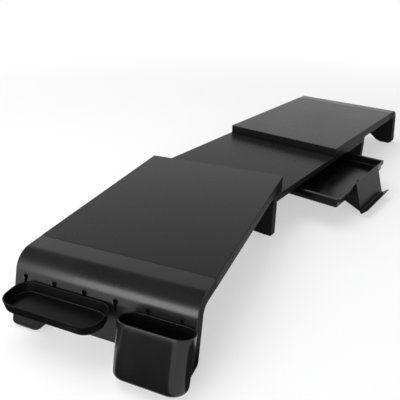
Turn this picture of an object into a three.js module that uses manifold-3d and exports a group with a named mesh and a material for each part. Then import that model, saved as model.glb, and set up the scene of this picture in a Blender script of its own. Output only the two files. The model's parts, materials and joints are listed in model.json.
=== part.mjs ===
// Dual monitor riser: a low middle bench with a drawer, two shelves that rest on the bench and stand
// on moulded end legs, and a tray and a pen cup that hang on the left end leg.
// Lengths are in millimetres, angles in degrees, +Z is up and -Y is the side the user sits at.
// While the pieces are made, x runs from the bench's left end and y from its front edge.

import * as THREE from 'three';
import { mergeVertices } from 'three/addons/utils/BufferGeometryUtils.js';
import Module from 'manifold-3d';

const wasm = await Module();
wasm.setup();

// Gaps and cutting
const seatGap = 0.3;
const slideGap = 0.4;
const cutOverrun = 2;
const joinDepth = 0.6;
const mergeDistance = 1e-5;

// Middle bench
const benchLength = 459;
const benchDepth = 280;
const benchHeight = 85.2;
const benchBoardThickness = 14;
const benchCornerRadius = 3;
const benchEdgeBevel = 0.8;

// Bench legs: an upright panel with a screwed flange and gussets on its inner side
const benchLegThickness = 15;
const benchLegCornerRadius = 3;
const legFlangeWidth = 24;
const legFlangeThickness = 5;
const legFlangeInset = 5;
const legFlangeRadius = 7;
const gussetThickness = 4;
const gussetReach = 19;
const gussetDrop = 24;
const gussetShares = [0.05, 0.36, 0.64, 0.95];
const legScrewShares = [0.28, 0.56, 0.84];
const legScrewShare = 0.6;

// Feet pads under the bench legs
const benchPadHeight = 1.5;
const benchPadWidth = 11;
const benchPadLength = 38;
const benchPadRadius = 4;
const benchPadEndInset = 12;

// Wood screws that hold legs, runners and tracks
const screwShankRadius = 1.5;
const screwHeadRadius = 3.4;
const screwHeadHeight = 2.2;
const screwCrownHeight = 0.6;
const screwSocketRadius = 1.3;
const screwSocketDepth = 1.2;
const screwBite = 9;
const screwHoleRadius = screwShankRadius + slideGap;

// Clamps: a bolt with a hand knob goes up through the bench into a sliding nut
const clampFromEnd = 31;
const clampFromFront = 45;
const boltRadius = 3;
const boltHoleRadius = 3.6;
const boltHeadRadius = 5.6;
const boltHeadHeight = 4;
const washerRadius = 10;
const washerThickness = 1.2;
const knobRadius = 13;
const knobLobeHeight = 1.1;
const knobLobes = 7;
const knobHeight = 15;
const knobBevel = 1.5;
const knobRecessDepth = 6;
const knobClearance = 3;

// Sliding nut and the steel track that holds it under each shelf
const nutWidth = 15;
const nutLength = 15;
const nutThickness = 5;
const nutHoleRadius = 3.4;
const trackWall = 1.4;
const trackStart = 10;
const trackLength = 182;
const trackHeadroom = 2.6;
const trackLip = 3.4;
const trackRecess = 0.3;
const trackScrewInset = 9;
const trackScrewHeadHeight = 1.3;
const trackScrewBite = 5;

// Shelves: a flat board and a moulded end leg, drawn from the inner end outwards
const shelfDepth = 280;
const shelfThickness = 19.5;
const shelfSeam = 365;
const shelfCornerRadius = 2;
const shelfEdgeBevel = 0.8;
const shelfUnderside = benchHeight + seatGap;
const shelfTop = shelfUnderside + shelfThickness;
const tongueLength = 40;
const tongueThickness = 9;
const tongueSideInset = 9;
const tongueScrewShares = [0.14, 0.5, 0.86];
const tongueScrewBite = 6;
const tongueCounterbore = 3.2;

// End leg: outer bend, splayed shin that thickens towards the foot, and an arch between two feet
const outerBendStart = 393;
const outerBendRadius = 33;
const outerSplay = 18.4;
const innerBendStart = 392;
const innerBendRadius = 14;
const innerSplay = 13.7;
const footCornerRound = 5.5;
const endLegBevel = 1;
const footBottom = 2.5;
const footLength = 43;
const archHeight = 20;
const archSlopeRun = 20;
const archRound = 5;
const legSideRound = 7;
const footPadHeight = 2.2;
const footPadInset = 4.5;
const footPadEndInset = 7;
const footPadRadius = 4;

// Keyholes in the left end leg, and the pocket behind each
const keyholeCount = 6;
const keyholePitch = 48.5;
const keyholeHeight = 75.5;
const keyholeRadius = 3.6;
const keyholeSlotRadius = 2.3;
const keyholeDrop = 9;
const keyholeWall = 9;
const pocketHalfWidth = 6;
const pocketAbove = 4.5;
const pocketBelow = 15;
const pocketRadius = 3;

// Mushroom studs moulded on what hangs in the keyholes
const studNeckRadius = keyholeSlotRadius - seatGap;
const studHeadRadius = 3.2;
const studHeadThickness = 2;
const hangGap = 2;

// How the shelves are set: how far each reaches over its clamp, and how far the left one is swung
const leftSwing = 15.3;
const leftReach = 20;
const leftTrackFromFront = 36;
const rightSwing = 0;
const rightReachFromTrackEnd = 29.6;
const rightTrackFromFront = 48.1;

// Drawer and its runners
const drawerFromEnd = 98;
const drawerLength = 215;
const drawerTop = 68.3;
const drawerBottom = 48.3;
const drawerWall = 2;
const drawerFloor = 2;
const drawerCornerRadius = 5;
const drawerDraft = 0.6;
const drawerSideFlange = 5;
const drawerFlangeHeight = 9;
const drawerInsideRound = 5;
const drawerSoleBevel = 1.2;
const drawerRimRound = 0.5;
const drawerPulled = 84;
const drawerClosedInset = 1;
const drawerMorePull = 60;
const runnerThickness = 1.5;
const runnerStart = 10;
const runnerFlange = 15.5;
const runnerSideGap = 3;
const runnerLipGap = 1;
const runnerScrewShares = [0.2, 0.8];
const runnerScrewShare = 0.5;
const runnerEndGap = 1;
const stopTabReach = 2.2;
const stopEarLength = 8;
const stopEarGap = 0.8;
const clipSlotWidth = 6.6;
const clipSlotDepth = 4.6;
const clipSlotFromFront = 16;
const clipSlotShares = [0.2434, 0.5856];

// Phone holder clipped under the drawer's front
const holderWidth = 127;
const holderWall = 2.2;
const holderTop = 70.2;
const holderBottom = 12;
const holderLean = 17.5;
const holderLipReach = 14;
const holderLipRise = 8.5;
const holderLipRound = 4;
const holderTipRound = 0.9;
const holderRoofLength = 46;
const holderRibDrop = 8;
const clipTongueHeight = 4;

// Side tray
const trayLength = 150.5;
const trayDepth = 55;
const trayRim = 73.8;
const trayHeight = 16;
const trayCornerRadius = 22.5;
const trayWall = 2;
const trayFloor = 2.2;
const trayDraft = 2;
const trayRound = 3.5;
const trayRimRound = 0.5;
const trayKeyholes = [3, 4];

// Pen cup
const cupLength = 102.5;
const cupDepth = 44;
const cupHeight = 75.8;
const cupRim = 72.8;
const cupWall = 2.2;
const cupFloor = 2.4;
const cupCornerRadius = 21;
const cupTaper = 1.2;
const cupRound = 9;
const cupRimRound = 0.5;
const cupKeyholes = [0, 1];

// Facets
const holeSides = 20;
const screwSides = 10;
const hexSides = 6;
const filletShare = 0.3;
const cornerSteps = 4;
const bendSteps = 12;
const roundSteps = 4;
const ringCornerSteps = 7;
const knobLobeSteps = 6;
const keyholeSteps = 6;
const pocketSteps = 2;

// Heights and places that follow from the sizes above
const benchUnderside = benchHeight - benchBoardThickness;
const benchLegTop = benchUnderside - seatGap;
const benchLegBottom = benchPadHeight + seatGap;
const boltTop = shelfUnderside + trackRecess + trackWall + seatGap + nutThickness + seatGap;
const nutBottom = shelfUnderside + trackRecess + trackWall + seatGap;
const trackInsideHeight = seatGap + nutThickness + trackHeadroom;
const trackOuterWidth = nutWidth + 2 * slideGap + 2 * trackWall;
const trackBottom = shelfUnderside + trackRecess;
const trackTop = trackBottom + 2 * trackWall + trackInsideHeight;
const rebateHeight = shelfUnderside + tongueThickness + seatGap;
const drawerFront = drawerClosedInset - drawerPulled;
const drawerRear = drawerFront + drawerLength;
const drawerWidth = benchLength - 2 * drawerFromEnd;
const bodyLeft = drawerFromEnd + drawerSideFlange;
const flangeBottom = drawerTop - drawerFlangeHeight;
const runnerWebInner = drawerFromEnd - runnerSideGap;
const runnerWebOuter = runnerWebInner - runnerThickness;
const runnerLipTop = flangeBottom - seatGap;
const runnerEnd = drawerRear + drawerPulled + runnerEndGap + runnerThickness;
const runnerLength = runnerEnd - runnerStart;
const stopEarFront = runnerStart + runnerThickness + drawerMorePull + seatGap;
const splay = THREE.MathUtils.degToRad(outerSplay);
const innerLean = THREE.MathUtils.degToRad(innerSplay);
const outerBendEndX = outerBendStart + outerBendRadius * Math.cos(splay);
const outerBendEndZ = shelfTop - outerBendRadius * (1 - Math.sin(splay));
const innerBendEndX = innerBendStart + innerBendRadius * Math.cos(innerLean);
const innerBendEndZ = shelfUnderside - innerBendRadius * (1 - Math.sin(innerLean));
const archTop = footBottom + archHeight;
const rightReach = trackStart + trackLength - rightReachFromTrackEnd;
const firstKeyhole = (shelfDepth - (keyholeCount - 1) * keyholePitch) / 2;

// How far out the end leg's outer face is at a height
function outerFaceAt(height) {
  return outerBendEndX + (outerBendEndZ - height) * Math.tan(splay);
}

// How far out the end leg's inner face is at a height
function innerFaceAt(height) {
  return innerBendEndX + (innerBendEndZ - height) * Math.tan(innerLean);
}

function keyholeAt(index) {
  return firstKeyhole + index * keyholePitch;
}

// Materials
const boardBlack = new THREE.MeshStandardMaterial({ color: 0x2b2b2c, roughness: 0.55, metalness: 0 });
const mouldedBlack = new THREE.MeshStandardMaterial({ color: 0x1d1d1e, roughness: 0.38, metalness: 0 });
const softBlack = new THREE.MeshStandardMaterial({ color: 0x161617, roughness: 0.5, metalness: 0 });
const rubberBlack = new THREE.MeshStandardMaterial({ color: 0x101010, roughness: 0.9, metalness: 0 });
const blackSteel = new THREE.MeshStandardMaterial({ color: 0x1a1a1b, roughness: 0.45, metalness: 0.6 });
const zincSteel = new THREE.MeshStandardMaterial({ color: 0xa9acb0, roughness: 0.35, metalness: 1 });

// Solid joining and cutting

function solidFrom(geometry) {
  const bare = geometry.index ? geometry.toNonIndexed() : geometry.clone();
  for (const name of Object.keys(bare.attributes)) {
    if (name !== 'position') bare.deleteAttribute(name);
  }
  const merged = mergeVertices(bare, mergeDistance);
  const corners = merged.index.array;
  const kept = [];
  for (let i = 0; i < corners.length; i += 3) {
    const [a, b, c] = [corners[i], corners[i + 1], corners[i + 2]];
    if (a !== b && b !== c && c !== a) kept.push(a, b, c);
  }
  return new wasm.Manifold(new wasm.Mesh({
    numProp: 3,
    vertProperties: new Float32Array(merged.attributes.position.array),
    triVerts: new Uint32Array(kept),
  }));
}

function geometryFrom(solid) {
  const mesh = solid.getMesh();
  const geometry = new THREE.BufferGeometry();
  geometry.setAttribute('position', new THREE.BufferAttribute(new Float32Array(mesh.vertProperties), 3));
  geometry.setIndex(new THREE.BufferAttribute(new Uint32Array(mesh.triVerts), 1));
  geometry.computeVertexNormals();
  return geometry;
}

function join(...geometries) {
  return geometryFrom(geometries.map(solidFrom).reduce((whole, next) => whole.add(next)));
}

function cut(geometry, ...tools) {
  return geometryFrom(tools.map(solidFrom).reduce((rest, tool) => rest.subtract(tool), solidFrom(geometry)));
}

function common(first, second) {
  return geometryFrom(solidFrom(first).intersect(solidFrom(second)));
}

// The same body seen in a mirror across x = 0, with its faces turned back outwards
function mirrored(geometry) {
  const copy = geometry.index ? geometry.toNonIndexed() : geometry.clone();
  copy.scale(-1, 1, 1);
  const position = copy.attributes.position;
  for (let i = 0; i < position.count; i += 3) {
    const second = new THREE.Vector3().fromBufferAttribute(position, i + 1);
    const third = new THREE.Vector3().fromBufferAttribute(position, i + 2);
    position.setXYZ(i + 1, third.x, third.y, third.z);
    position.setXYZ(i + 2, second.x, second.y, second.z);
  }
  copy.computeVertexNormals();
  return copy;
}

// Outlines and extrusions

function roundedOutline(x0, y0, x1, y1, radius) {
  const shape = new THREE.Shape();
  shape.moveTo(x0 + radius, y0);
  shape.lineTo(x1 - radius, y0);
  shape.absarc(x1 - radius, y0 + radius, radius, -Math.PI / 2, 0, false);
  shape.lineTo(x1, y1 - radius);
  shape.absarc(x1 - radius, y1 - radius, radius, 0, Math.PI / 2, false);
  shape.lineTo(x0 + radius, y1);
  shape.absarc(x0 + radius, y1 - radius, radius, Math.PI / 2, Math.PI, false);
  shape.lineTo(x0, y0 + radius);
  shape.absarc(x0 + radius, y0 + radius, radius, Math.PI, 1.5 * Math.PI, false);
  return shape;
}

function polygon(points) {
  return new THREE.Shape(points.map(([x, y]) => new THREE.Vector2(x, y)));
}

// An outline in x and y made solid from one height to another, its edges eased by a bevel
function standing(shape, low, high, bevel = 0, steps = cornerSteps) {
  const geometry = new THREE.ExtrudeGeometry(shape, {
    depth: high - low - 2 * bevel,
    bevelEnabled: bevel > 0,
    bevelThickness: bevel,
    bevelSize: bevel,
    bevelOffset: -bevel,
    bevelSegments: 1,
    curveSegments: steps,
  });
  return geometry.translate(0, 0, low + bevel);
}

// An outline in x and z made solid from front to rear along y
function fromFrontToRear(shape, front, rear, bevel = 0, steps = cornerSteps) {
  const geometry = standing(shape, 0, rear - front, bevel, steps);
  return geometry.rotateX(Math.PI / 2).translate(0, rear, 0);
}

// An outline in y and z made solid along x
function alongX(shape, start, end, bevel = 0, steps = cornerSteps) {
  const turn = new THREE.Matrix4().makeBasis(
    new THREE.Vector3(0, 1, 0),
    new THREE.Vector3(0, 0, 1),
    new THREE.Vector3(1, 0, 0),
  );
  return standing(shape, 0, end - start, bevel, steps).applyMatrix4(turn).translate(start, 0, 0);
}

function block(x0, x1, y0, y1, z0, z1) {
  const geometry = new THREE.BoxGeometry(x1 - x0, y1 - y0, z1 - z0);
  return geometry.translate((x0 + x1) / 2, (y0 + y1) / 2, (z0 + z1) / 2);
}

// An upright round bar
function bar(x, y, low, high, radius, sides = holeSides) {
  const geometry = new THREE.CylinderGeometry(radius, radius, high - low, sides);
  return geometry.rotateX(Math.PI / 2).translate(x, y, (low + high) / 2);
}

// A ring of points, counter-clockwise seen from above, round a box with rounded corners
function ring(x0, y0, x1, y1, radius, height) {
  const points = [];
  const corners = [[x1 - radius, y1 - radius], [x0 + radius, y1 - radius],
    [x0 + radius, y0 + radius], [x1 - radius, y0 + radius]];
  corners.forEach(([cx, cy], quarter) => {
    for (let step = 0; step <= ringCornerSteps; step += 1) {
      const angle = (quarter + step / ringCornerSteps) * Math.PI / 2;
      points.push([cx + radius * Math.cos(angle), cy + radius * Math.sin(angle), height]);
    }
  });
  return points;
}

// A closed body lofted through rings of equal length, from the underside up and round into the hollow
function loft(rings) {
  const count = rings[0].length;
  const position = rings.flat(2);
  const index = [];
  for (let level = 0; level + 1 < rings.length; level += 1) {
    for (let i = 0; i < count; i += 1) {
      const next = (i + 1) % count;
      const [a, b] = [level * count + i, level * count + next];
      const [c, d] = [a + count, b + count];
      index.push(a, b, d, a, d, c);
    }
  }
  const last = (rings.length - 1) * count;
  for (let i = 1; i + 1 < count; i += 1) {
    index.push(0, i + 1, i);
    index.push(last, last + i, last + i + 1);
  }
  const geometry = new THREE.BufferGeometry();
  geometry.setAttribute('position', new THREE.Float32BufferAttribute(position, 3));
  geometry.setIndex(index);
  return geometry;
}

function piece(name, geometry, material) {
  const mesh = new THREE.Mesh(geometry, material);
  mesh.name = name;
  return mesh;
}

// A pan-head screw pointing up, its head's seat at height zero
function woodScrew(bite, headHeight = screwHeadHeight) {
  const crown = Math.min(screwCrownHeight, headHeight / 2);
  const profile = [
    [0, -headHeight],
    [screwHeadRadius - crown, -headHeight],
    [screwHeadRadius, -headHeight + crown],
    [screwHeadRadius, 0],
    [screwShankRadius, 0],
    [screwShankRadius, bite - screwShankRadius],
    [0, bite],
  ];
  const body = new THREE.LatheGeometry(profile.map(([r, z]) => new THREE.Vector2(r, z)), screwSides);
  const socketDepth = Math.min(screwSocketDepth, headHeight / 2);
  const socket = bar(0, 0, -headHeight - cutOverrun, -headHeight + socketDepth, screwSocketRadius, hexSides);
  return cut(body.rotateX(Math.PI / 2), socket);
}

// Middle bench

const legScrewX = benchLegThickness + legFlangeWidth * legScrewShare;
const runnerScrewX = runnerWebOuter - runnerFlange * runnerScrewShare;

function screwPlaces(x, shares, start, length) {
  return shares.flatMap((share) => [x, benchLength - x].map((side) => [side, start + length * share]));
}

const legScrewPlaces = screwPlaces(legScrewX, legScrewShares, 0, benchDepth);
const runnerScrewPlaces = screwPlaces(runnerScrewX, runnerScrewShares, runnerStart, runnerLength);
const clampPlaces = [[clampFromEnd, clampFromFront], [benchLength - clampFromEnd, clampFromFront]];

function benchBoard() {
  const outline = roundedOutline(0, 0, benchLength, benchDepth, benchCornerRadius);
  const board = standing(outline, benchUnderside, benchHeight, benchEdgeBevel);
  const pilots = [...legScrewPlaces, ...runnerScrewPlaces].map(([x, y]) => (
    bar(x, y, benchUnderside - cutOverrun, benchUnderside + screwBite, screwHoleRadius, screwSides)
  ));
  const boltHoles = clampPlaces.map(([x, y]) => (
    bar(x, y, benchUnderside - cutOverrun, benchHeight + cutOverrun, boltHoleRadius)
  ));
  return cut(board, ...pilots, ...boltHoles);
}

// The left leg; the right one is its mirror image
function benchLeg() {
  const panelSide = roundedOutline(0, benchLegBottom, benchDepth, benchLegTop, benchLegCornerRadius);
  const panel = alongX(panelSide, 0, benchLegThickness, benchEdgeBevel);
  const flangeOutline = roundedOutline(
    benchLegThickness - legFlangeRadius - joinDepth,
    legFlangeInset,
    benchLegThickness + legFlangeWidth,
    benchDepth - legFlangeInset,
    legFlangeRadius,
  );
  const flangeBottomHeight = benchLegTop - legFlangeThickness;
  const notch = bar(
    clampFromEnd,
    clampFromFront,
    flangeBottomHeight - cutOverrun,
    benchLegTop + cutOverrun,
    knobRadius + knobClearance,
  );
  const flangeOnly = block(
    benchLegThickness - joinDepth,
    benchLegThickness + legFlangeWidth + cutOverrun,
    0,
    benchDepth,
    flangeBottomHeight - cutOverrun,
    benchLegTop + cutOverrun,
  );
  const flange = common(cut(standing(flangeOutline, flangeBottomHeight, benchLegTop), notch), flangeOnly);
  const gussets = gussetShares.map((share) => {
    const triangle = polygon([
      [benchLegThickness - joinDepth, flangeBottomHeight + joinDepth],
      [benchLegThickness + gussetReach, flangeBottomHeight + joinDepth],
      [benchLegThickness + gussetReach, flangeBottomHeight],
      [benchLegThickness, flangeBottomHeight - gussetDrop],
      [benchLegThickness - joinDepth, flangeBottomHeight - gussetDrop],
    ]);
    const middle = share * benchDepth;
    return fromFrontToRear(triangle, middle - gussetThickness / 2, middle + gussetThickness / 2);
  });
  const holes = legScrewShares.map((share) => (
    bar(legScrewX, share * benchDepth, flangeBottomHeight - cutOverrun, benchLegTop + cutOverrun,
      screwHoleRadius, screwSides)
  ));
  return cut(join(panel, flange, ...gussets), ...holes);
}

function benchPad() {
  const outline = roundedOutline(
    (benchLegThickness - benchPadWidth) / 2,
    0,
    (benchLegThickness + benchPadWidth) / 2,
    benchPadLength,
    benchPadRadius,
  );
  return standing(outline, 0, benchPadHeight);
}

// The left runner: a folded strip with a screwed flange, a web, a lip that carries the drawer, and stops
function drawerRunner() {
  const top = benchLegTop;
  const profile = polygon([
    [runnerWebOuter - runnerFlange, top],
    [runnerWebInner, top],
    [runnerWebInner, runnerLipTop],
    [bodyLeft - runnerLipGap, runnerLipTop],
    [bodyLeft - runnerLipGap, runnerLipTop - runnerThickness],
    [runnerWebOuter, runnerLipTop - runnerThickness],
    [runnerWebOuter, top - runnerThickness],
    [runnerWebOuter - runnerFlange, top - runnerThickness],
  ]);
  const strip = fromFrontToRear(profile, runnerStart, runnerEnd);
  const frontStop = block(
    runnerWebInner - joinDepth,
    runnerWebInner + stopTabReach,
    runnerStart,
    runnerStart + runnerThickness,
    flangeBottom + joinDepth,
    top,
  );
  const rearStop = block(
    runnerWebInner - joinDepth,
    bodyLeft - runnerLipGap,
    runnerEnd - runnerThickness,
    runnerEnd,
    runnerLipTop - joinDepth,
    top,
  );
  const flangeLow = top - runnerThickness - cutOverrun;
  const holes = runnerScrewShares.map((share) => (
    bar(
      runnerScrewX,
      runnerStart + runnerLength * share,
      flangeLow,
      top + cutOverrun,
      screwHoleRadius,
      screwSides,
    )
  ));
  return cut(join(strip, frontStop, rearStop), ...holes);
}

// Drawer

function drawerRing(inset, height, radius = drawerCornerRadius - inset) {
  return ring(
    bodyLeft + inset,
    drawerFront + inset,
    benchLength - bodyLeft - inset,
    drawerRear - inset,
    radius,
    height,
  );
}

function clipSlotPlaces() {
  const y = drawerFront + clipSlotFromFront;
  return clipSlotShares.map((share) => [drawerFromEnd + drawerWidth * share, y]);
}

function drawerTray() {
  const inside = (inset, height) => (
    drawerRing(drawerWall + inset, height, drawerCornerRadius - drawerWall)
  );
  const floorTop = drawerBottom + drawerFloor;
  const fillet = [];
  for (let step = 0; step <= roundSteps; step += 1) {
    const angle = (step / roundSteps) * Math.PI / 2;
    fillet.push(inside(
      drawerDraft + drawerInsideRound * (1 - Math.cos(angle)),
      floorTop + drawerInsideRound * (1 - Math.sin(angle)),
    ));
  }
  const shell = loft([
    drawerRing(drawerDraft + drawerSoleBevel, drawerBottom),
    drawerRing(drawerDraft, drawerBottom + drawerSoleBevel),
    drawerRing(0, drawerTop - drawerRimRound),
    drawerRing(drawerRimRound, drawerTop),
    inside(0, drawerTop),
    ...fillet,
  ]);
  const flange = () => {
    const profile = polygon([
      [drawerFromEnd, flangeBottom],
      [drawerFromEnd + drawerWall, flangeBottom],
      [drawerFromEnd + drawerWall, drawerTop - drawerWall],
      [bodyLeft + joinDepth, drawerTop - drawerWall],
      [bodyLeft + joinDepth, drawerTop],
      [drawerFromEnd, drawerTop],
    ]);
    return fromFrontToRear(profile, drawerFront, drawerRear - drawerCornerRadius);
  };
  const flangeEnd = () => block(
    drawerFromEnd,
    bodyLeft + drawerCornerRadius,
    drawerFront,
    drawerFront + drawerWall,
    flangeBottom,
    drawerTop,
  );
  const ear = () => block(
    drawerFromEnd - runnerSideGap + stopEarGap,
    drawerFromEnd + joinDepth,
    stopEarFront,
    stopEarFront + stopEarLength,
    flangeBottom + joinDepth,
    drawerTop - joinDepth,
  );
  const sides = [flange, flangeEnd, ear].flatMap((make) => (
    [make(), mirrored(make()).translate(benchLength, 0, 0)]
  ));
  const slots = clipSlotPlaces().map(([x, y]) => (
    block(
      x - clipSlotWidth / 2,
      x + clipSlotWidth / 2,
      y - clipSlotDepth / 2,
      y + clipSlotDepth / 2,
      drawerBottom - cutOverrun,
      floorTop + cutOverrun,
    )
  ));
  return cut(join(shell, ...sides), ...slots);
}

// Phone holder

// The leaning plate with its lip, seen from the side as y and z
function holderPlateOutline() {
  const lean = Math.tan(THREE.MathUtils.degToRad(holderLean));
  const backTop = drawerFront - seatGap;
  const frontTop = backTop - holderWall;
  const fall = holderTop - holderBottom;
  const backLow = backTop - fall * lean;
  const frontLow = frontTop - fall * lean;
  const tip = [frontLow - holderLipReach, holderBottom + holderLipRise];
  const shape = new THREE.Shape();
  shape.moveTo(backTop, holderTop);
  shape.lineTo(backLow, holderBottom);
  shape.quadraticCurveTo(
    backLow - holderLipRound * lean,
    holderBottom - holderLipRound,
    backLow - holderLipRound,
    holderBottom - holderLipRound,
  );
  shape.lineTo(frontLow - holderLipRound, holderBottom - holderLipRound + holderWall / 2);
  shape.lineTo(tip[0], tip[1] - holderTipRound);
  shape.quadraticCurveTo(tip[0] - holderTipRound, tip[1], tip[0] + holderTipRound, tip[1] + holderTipRound);
  shape.lineTo(frontLow - holderWall, holderBottom + holderWall / 2);
  shape.quadraticCurveTo(
    frontLow - holderWall * lean,
    holderBottom,
    frontLow + holderWall * lean,
    holderBottom + holderWall,
  );
  shape.lineTo(frontTop, holderTop);
  return shape;
}

// A rib between the plate and the drawer's underside, seen from the side as y and z
function holderRibOutline() {
  const lean = Math.tan(THREE.MathUtils.degToRad(holderLean));
  const roofTop = drawerBottom - seatGap;
  const roofRear = drawerFront + holderRoofLength;
  const plateBack = (height) => drawerFront - seatGap - (holderTop - height) * lean - holderWall / 2;
  return polygon([
    [plateBack(holderTop - holderWall), holderTop - holderWall],
    [plateBack(holderBottom), holderBottom],
    [roofRear, roofTop - holderRibDrop],
    [roofRear, roofTop],
    [drawerFront - seatGap, roofTop],
    [drawerFront - seatGap, holderTop - holderWall],
  ]);
}

function phoneHolder() {
  const [clipX, clipY] = clipSlotPlaces()[1];
  const [start, end] = [clipX - holderWidth / 2, clipX + holderWidth / 2];
  const roofTop = drawerBottom - seatGap;
  const plate = alongX(holderPlateOutline(), start, end, 0, roundSteps);
  const ribOutline = holderRibOutline();
  const ribs = [start, clipX - holderWall / 2, end - holderWall].map((x) => (
    alongX(ribOutline, x, x + holderWall)
  ));
  const roof = block(
    start,
    end,
    drawerFront - seatGap,
    drawerFront + holderRoofLength,
    roofTop - holderWall,
    roofTop,
  );
  const tongue = block(
    clipX - clipSlotWidth / 2 + seatGap,
    clipX + clipSlotWidth / 2 - seatGap,
    clipY - clipSlotDepth / 2 + seatGap,
    clipY + clipSlotDepth / 2 - seatGap,
    roofTop - joinDepth,
    roofTop + clipTongueHeight,
  );
  return join(plate, ...ribs, roof, tongue);
}

// Shelf pieces, drawn for the right side with x running outwards from the inner end

function shelfBoard(trackFromFront) {
  const outline = roundedOutline(0, 0, shelfSeam, shelfDepth, shelfCornerRadius);
  const board = standing(outline, shelfUnderside, shelfTop, shelfEdgeBevel);
  const rebate = block(
    shelfSeam - tongueLength - seatGap,
    shelfSeam + cutOverrun,
    tongueSideInset - seatGap,
    shelfDepth - tongueSideInset + seatGap,
    shelfUnderside - cutOverrun,
    rebateHeight,
  );
  const groove = block(
    trackStart - seatGap,
    trackStart + trackLength + seatGap,
    trackFromFront - trackOuterWidth / 2 - seatGap,
    trackFromFront + trackOuterWidth / 2 + seatGap,
    shelfUnderside - cutOverrun,
    trackTop + seatGap,
  );
  const trackPilots = trackScrewPlaces(trackFromFront).map(([x, y]) => (
    bar(x, y, trackTop, trackTop + trackScrewBite + seatGap, screwHoleRadius, screwSides)
  ));
  const tonguePilots = tongueScrewPlaces().map(([x, y]) => (
    bar(x, y, rebateHeight - seatGap, rebateHeight + tongueScrewBite + seatGap, screwHoleRadius, screwSides)
  ));
  return cut(board, rebate, groove, ...trackPilots, ...tonguePilots);
}

function trackScrewPlaces(trackFromFront) {
  return [
    [trackStart + trackScrewInset, trackFromFront],
    [trackStart + trackLength - trackScrewInset, trackFromFront],
  ];
}

function tongueScrewPlaces() {
  const x = shelfSeam - tongueLength / 2;
  return tongueScrewShares.map((share) => [x, share * shelfDepth]);
}

// A channel with in-turned lips, open downwards, drawn across y and z
function shelfTrack(trackFromFront) {
  const half = trackOuterWidth / 2;
  const lipEnd = half - trackWall - trackLip;
  const at = (y, z) => [trackFromFront + y, z];
  const profile = polygon([
    at(-half, trackBottom),
    at(-lipEnd, trackBottom),
    at(-lipEnd, trackBottom + trackWall),
    at(-half + trackWall, trackBottom + trackWall),
    at(-half + trackWall, trackTop - trackWall),
    at(half - trackWall, trackTop - trackWall),
    at(half - trackWall, trackBottom + trackWall),
    at(lipEnd, trackBottom + trackWall),
    at(lipEnd, trackBottom),
    at(half, trackBottom),
    at(half, trackTop),
    at(-half, trackTop),
  ]);
  const channel = alongX(profile, trackStart, trackStart + trackLength);
  const holes = trackScrewPlaces(trackFromFront).map(([x, y]) => (
    bar(x, y, trackTop - trackWall - cutOverrun, trackTop + cutOverrun, screwHoleRadius, screwSides)
  ));
  return cut(channel, ...holes);
}

// The end leg's section: tongue, flat top, outer bend, splayed shin, foot, and the inner face back up
function endLegSection() {
  const outerFoot = outerFaceAt(footBottom);
  const innerFoot = innerFaceAt(footBottom);
  const outerLift = footCornerRound * Math.tan(splay);
  const innerLift = footCornerRound * Math.tan(innerLean);
  const shape = new THREE.Shape();
  shape.moveTo(shelfSeam - tongueLength, shelfUnderside);
  shape.lineTo(shelfSeam - tongueLength, rebateHeight - seatGap);
  shape.lineTo(shelfSeam + seatGap, rebateHeight - seatGap);
  shape.lineTo(shelfSeam + seatGap, shelfTop);
  shape.lineTo(outerBendStart, shelfTop);
  shape.absarc(outerBendStart, shelfTop - outerBendRadius, outerBendRadius, Math.PI / 2, splay, true);
  shape.lineTo(outerFoot - outerLift, footBottom + footCornerRound);
  shape.quadraticCurveTo(outerFoot, footBottom, outerFoot - footCornerRound, footBottom);
  shape.lineTo(innerFoot + footCornerRound, footBottom);
  shape.quadraticCurveTo(innerFoot, footBottom, innerFoot - innerLift, footBottom + footCornerRound);
  shape.lineTo(innerBendEndX, innerBendEndZ);
  shape.absarc(
    innerBendStart,
    shelfUnderside - innerBendRadius,
    innerBendRadius,
    innerLean,
    Math.PI / 2,
    false,
  );
  shape.lineTo(shelfSeam - tongueLength, shelfUnderside);
  return shape;
}

// The end leg seen from outside: two feet with rounded corners and a sloped arch between them
function endLegSide() {
  const top = shelfTop + cutOverrun;
  const shape = new THREE.Shape();
  const slopeStart = footLength;
  const slopeEnd = footLength + archSlopeRun;
  const rise = archTop - footBottom;
  const roundRise = rise * archRound / archSlopeRun;
  const farStart = shelfDepth - slopeStart;
  const farEnd = shelfDepth - slopeEnd;
  shape.moveTo(0, top);
  shape.lineTo(0, footBottom + legSideRound);
  shape.quadraticCurveTo(0, footBottom, legSideRound, footBottom);
  shape.lineTo(slopeStart - archRound, footBottom);
  shape.quadraticCurveTo(slopeStart, footBottom, slopeStart + archRound, footBottom + roundRise);
  shape.lineTo(slopeEnd - archRound, archTop - roundRise);
  shape.quadraticCurveTo(slopeEnd, archTop, slopeEnd + archRound, archTop);
  shape.lineTo(farEnd - archRound, archTop);
  shape.quadraticCurveTo(farEnd, archTop, farEnd + archRound, archTop - roundRise);
  shape.lineTo(farStart - archRound, footBottom + roundRise);
  shape.quadraticCurveTo(farStart, footBottom, farStart + archRound, footBottom);
  shape.lineTo(shelfDepth - legSideRound, footBottom);
  shape.quadraticCurveTo(shelfDepth, footBottom, shelfDepth, footBottom + legSideRound);
  shape.lineTo(shelfDepth, top);
  return shape;
}

// Turns a body drawn against a flat wall at x = 0 onto the leg's outer face at the keyholes' height,
// with +x out of the face, y along it and z up it
function ontoOuterFace(geometry) {
  return geometry.rotateY(-splay).translate(outerFaceAt(keyholeHeight), 0, keyholeHeight);
}

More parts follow.
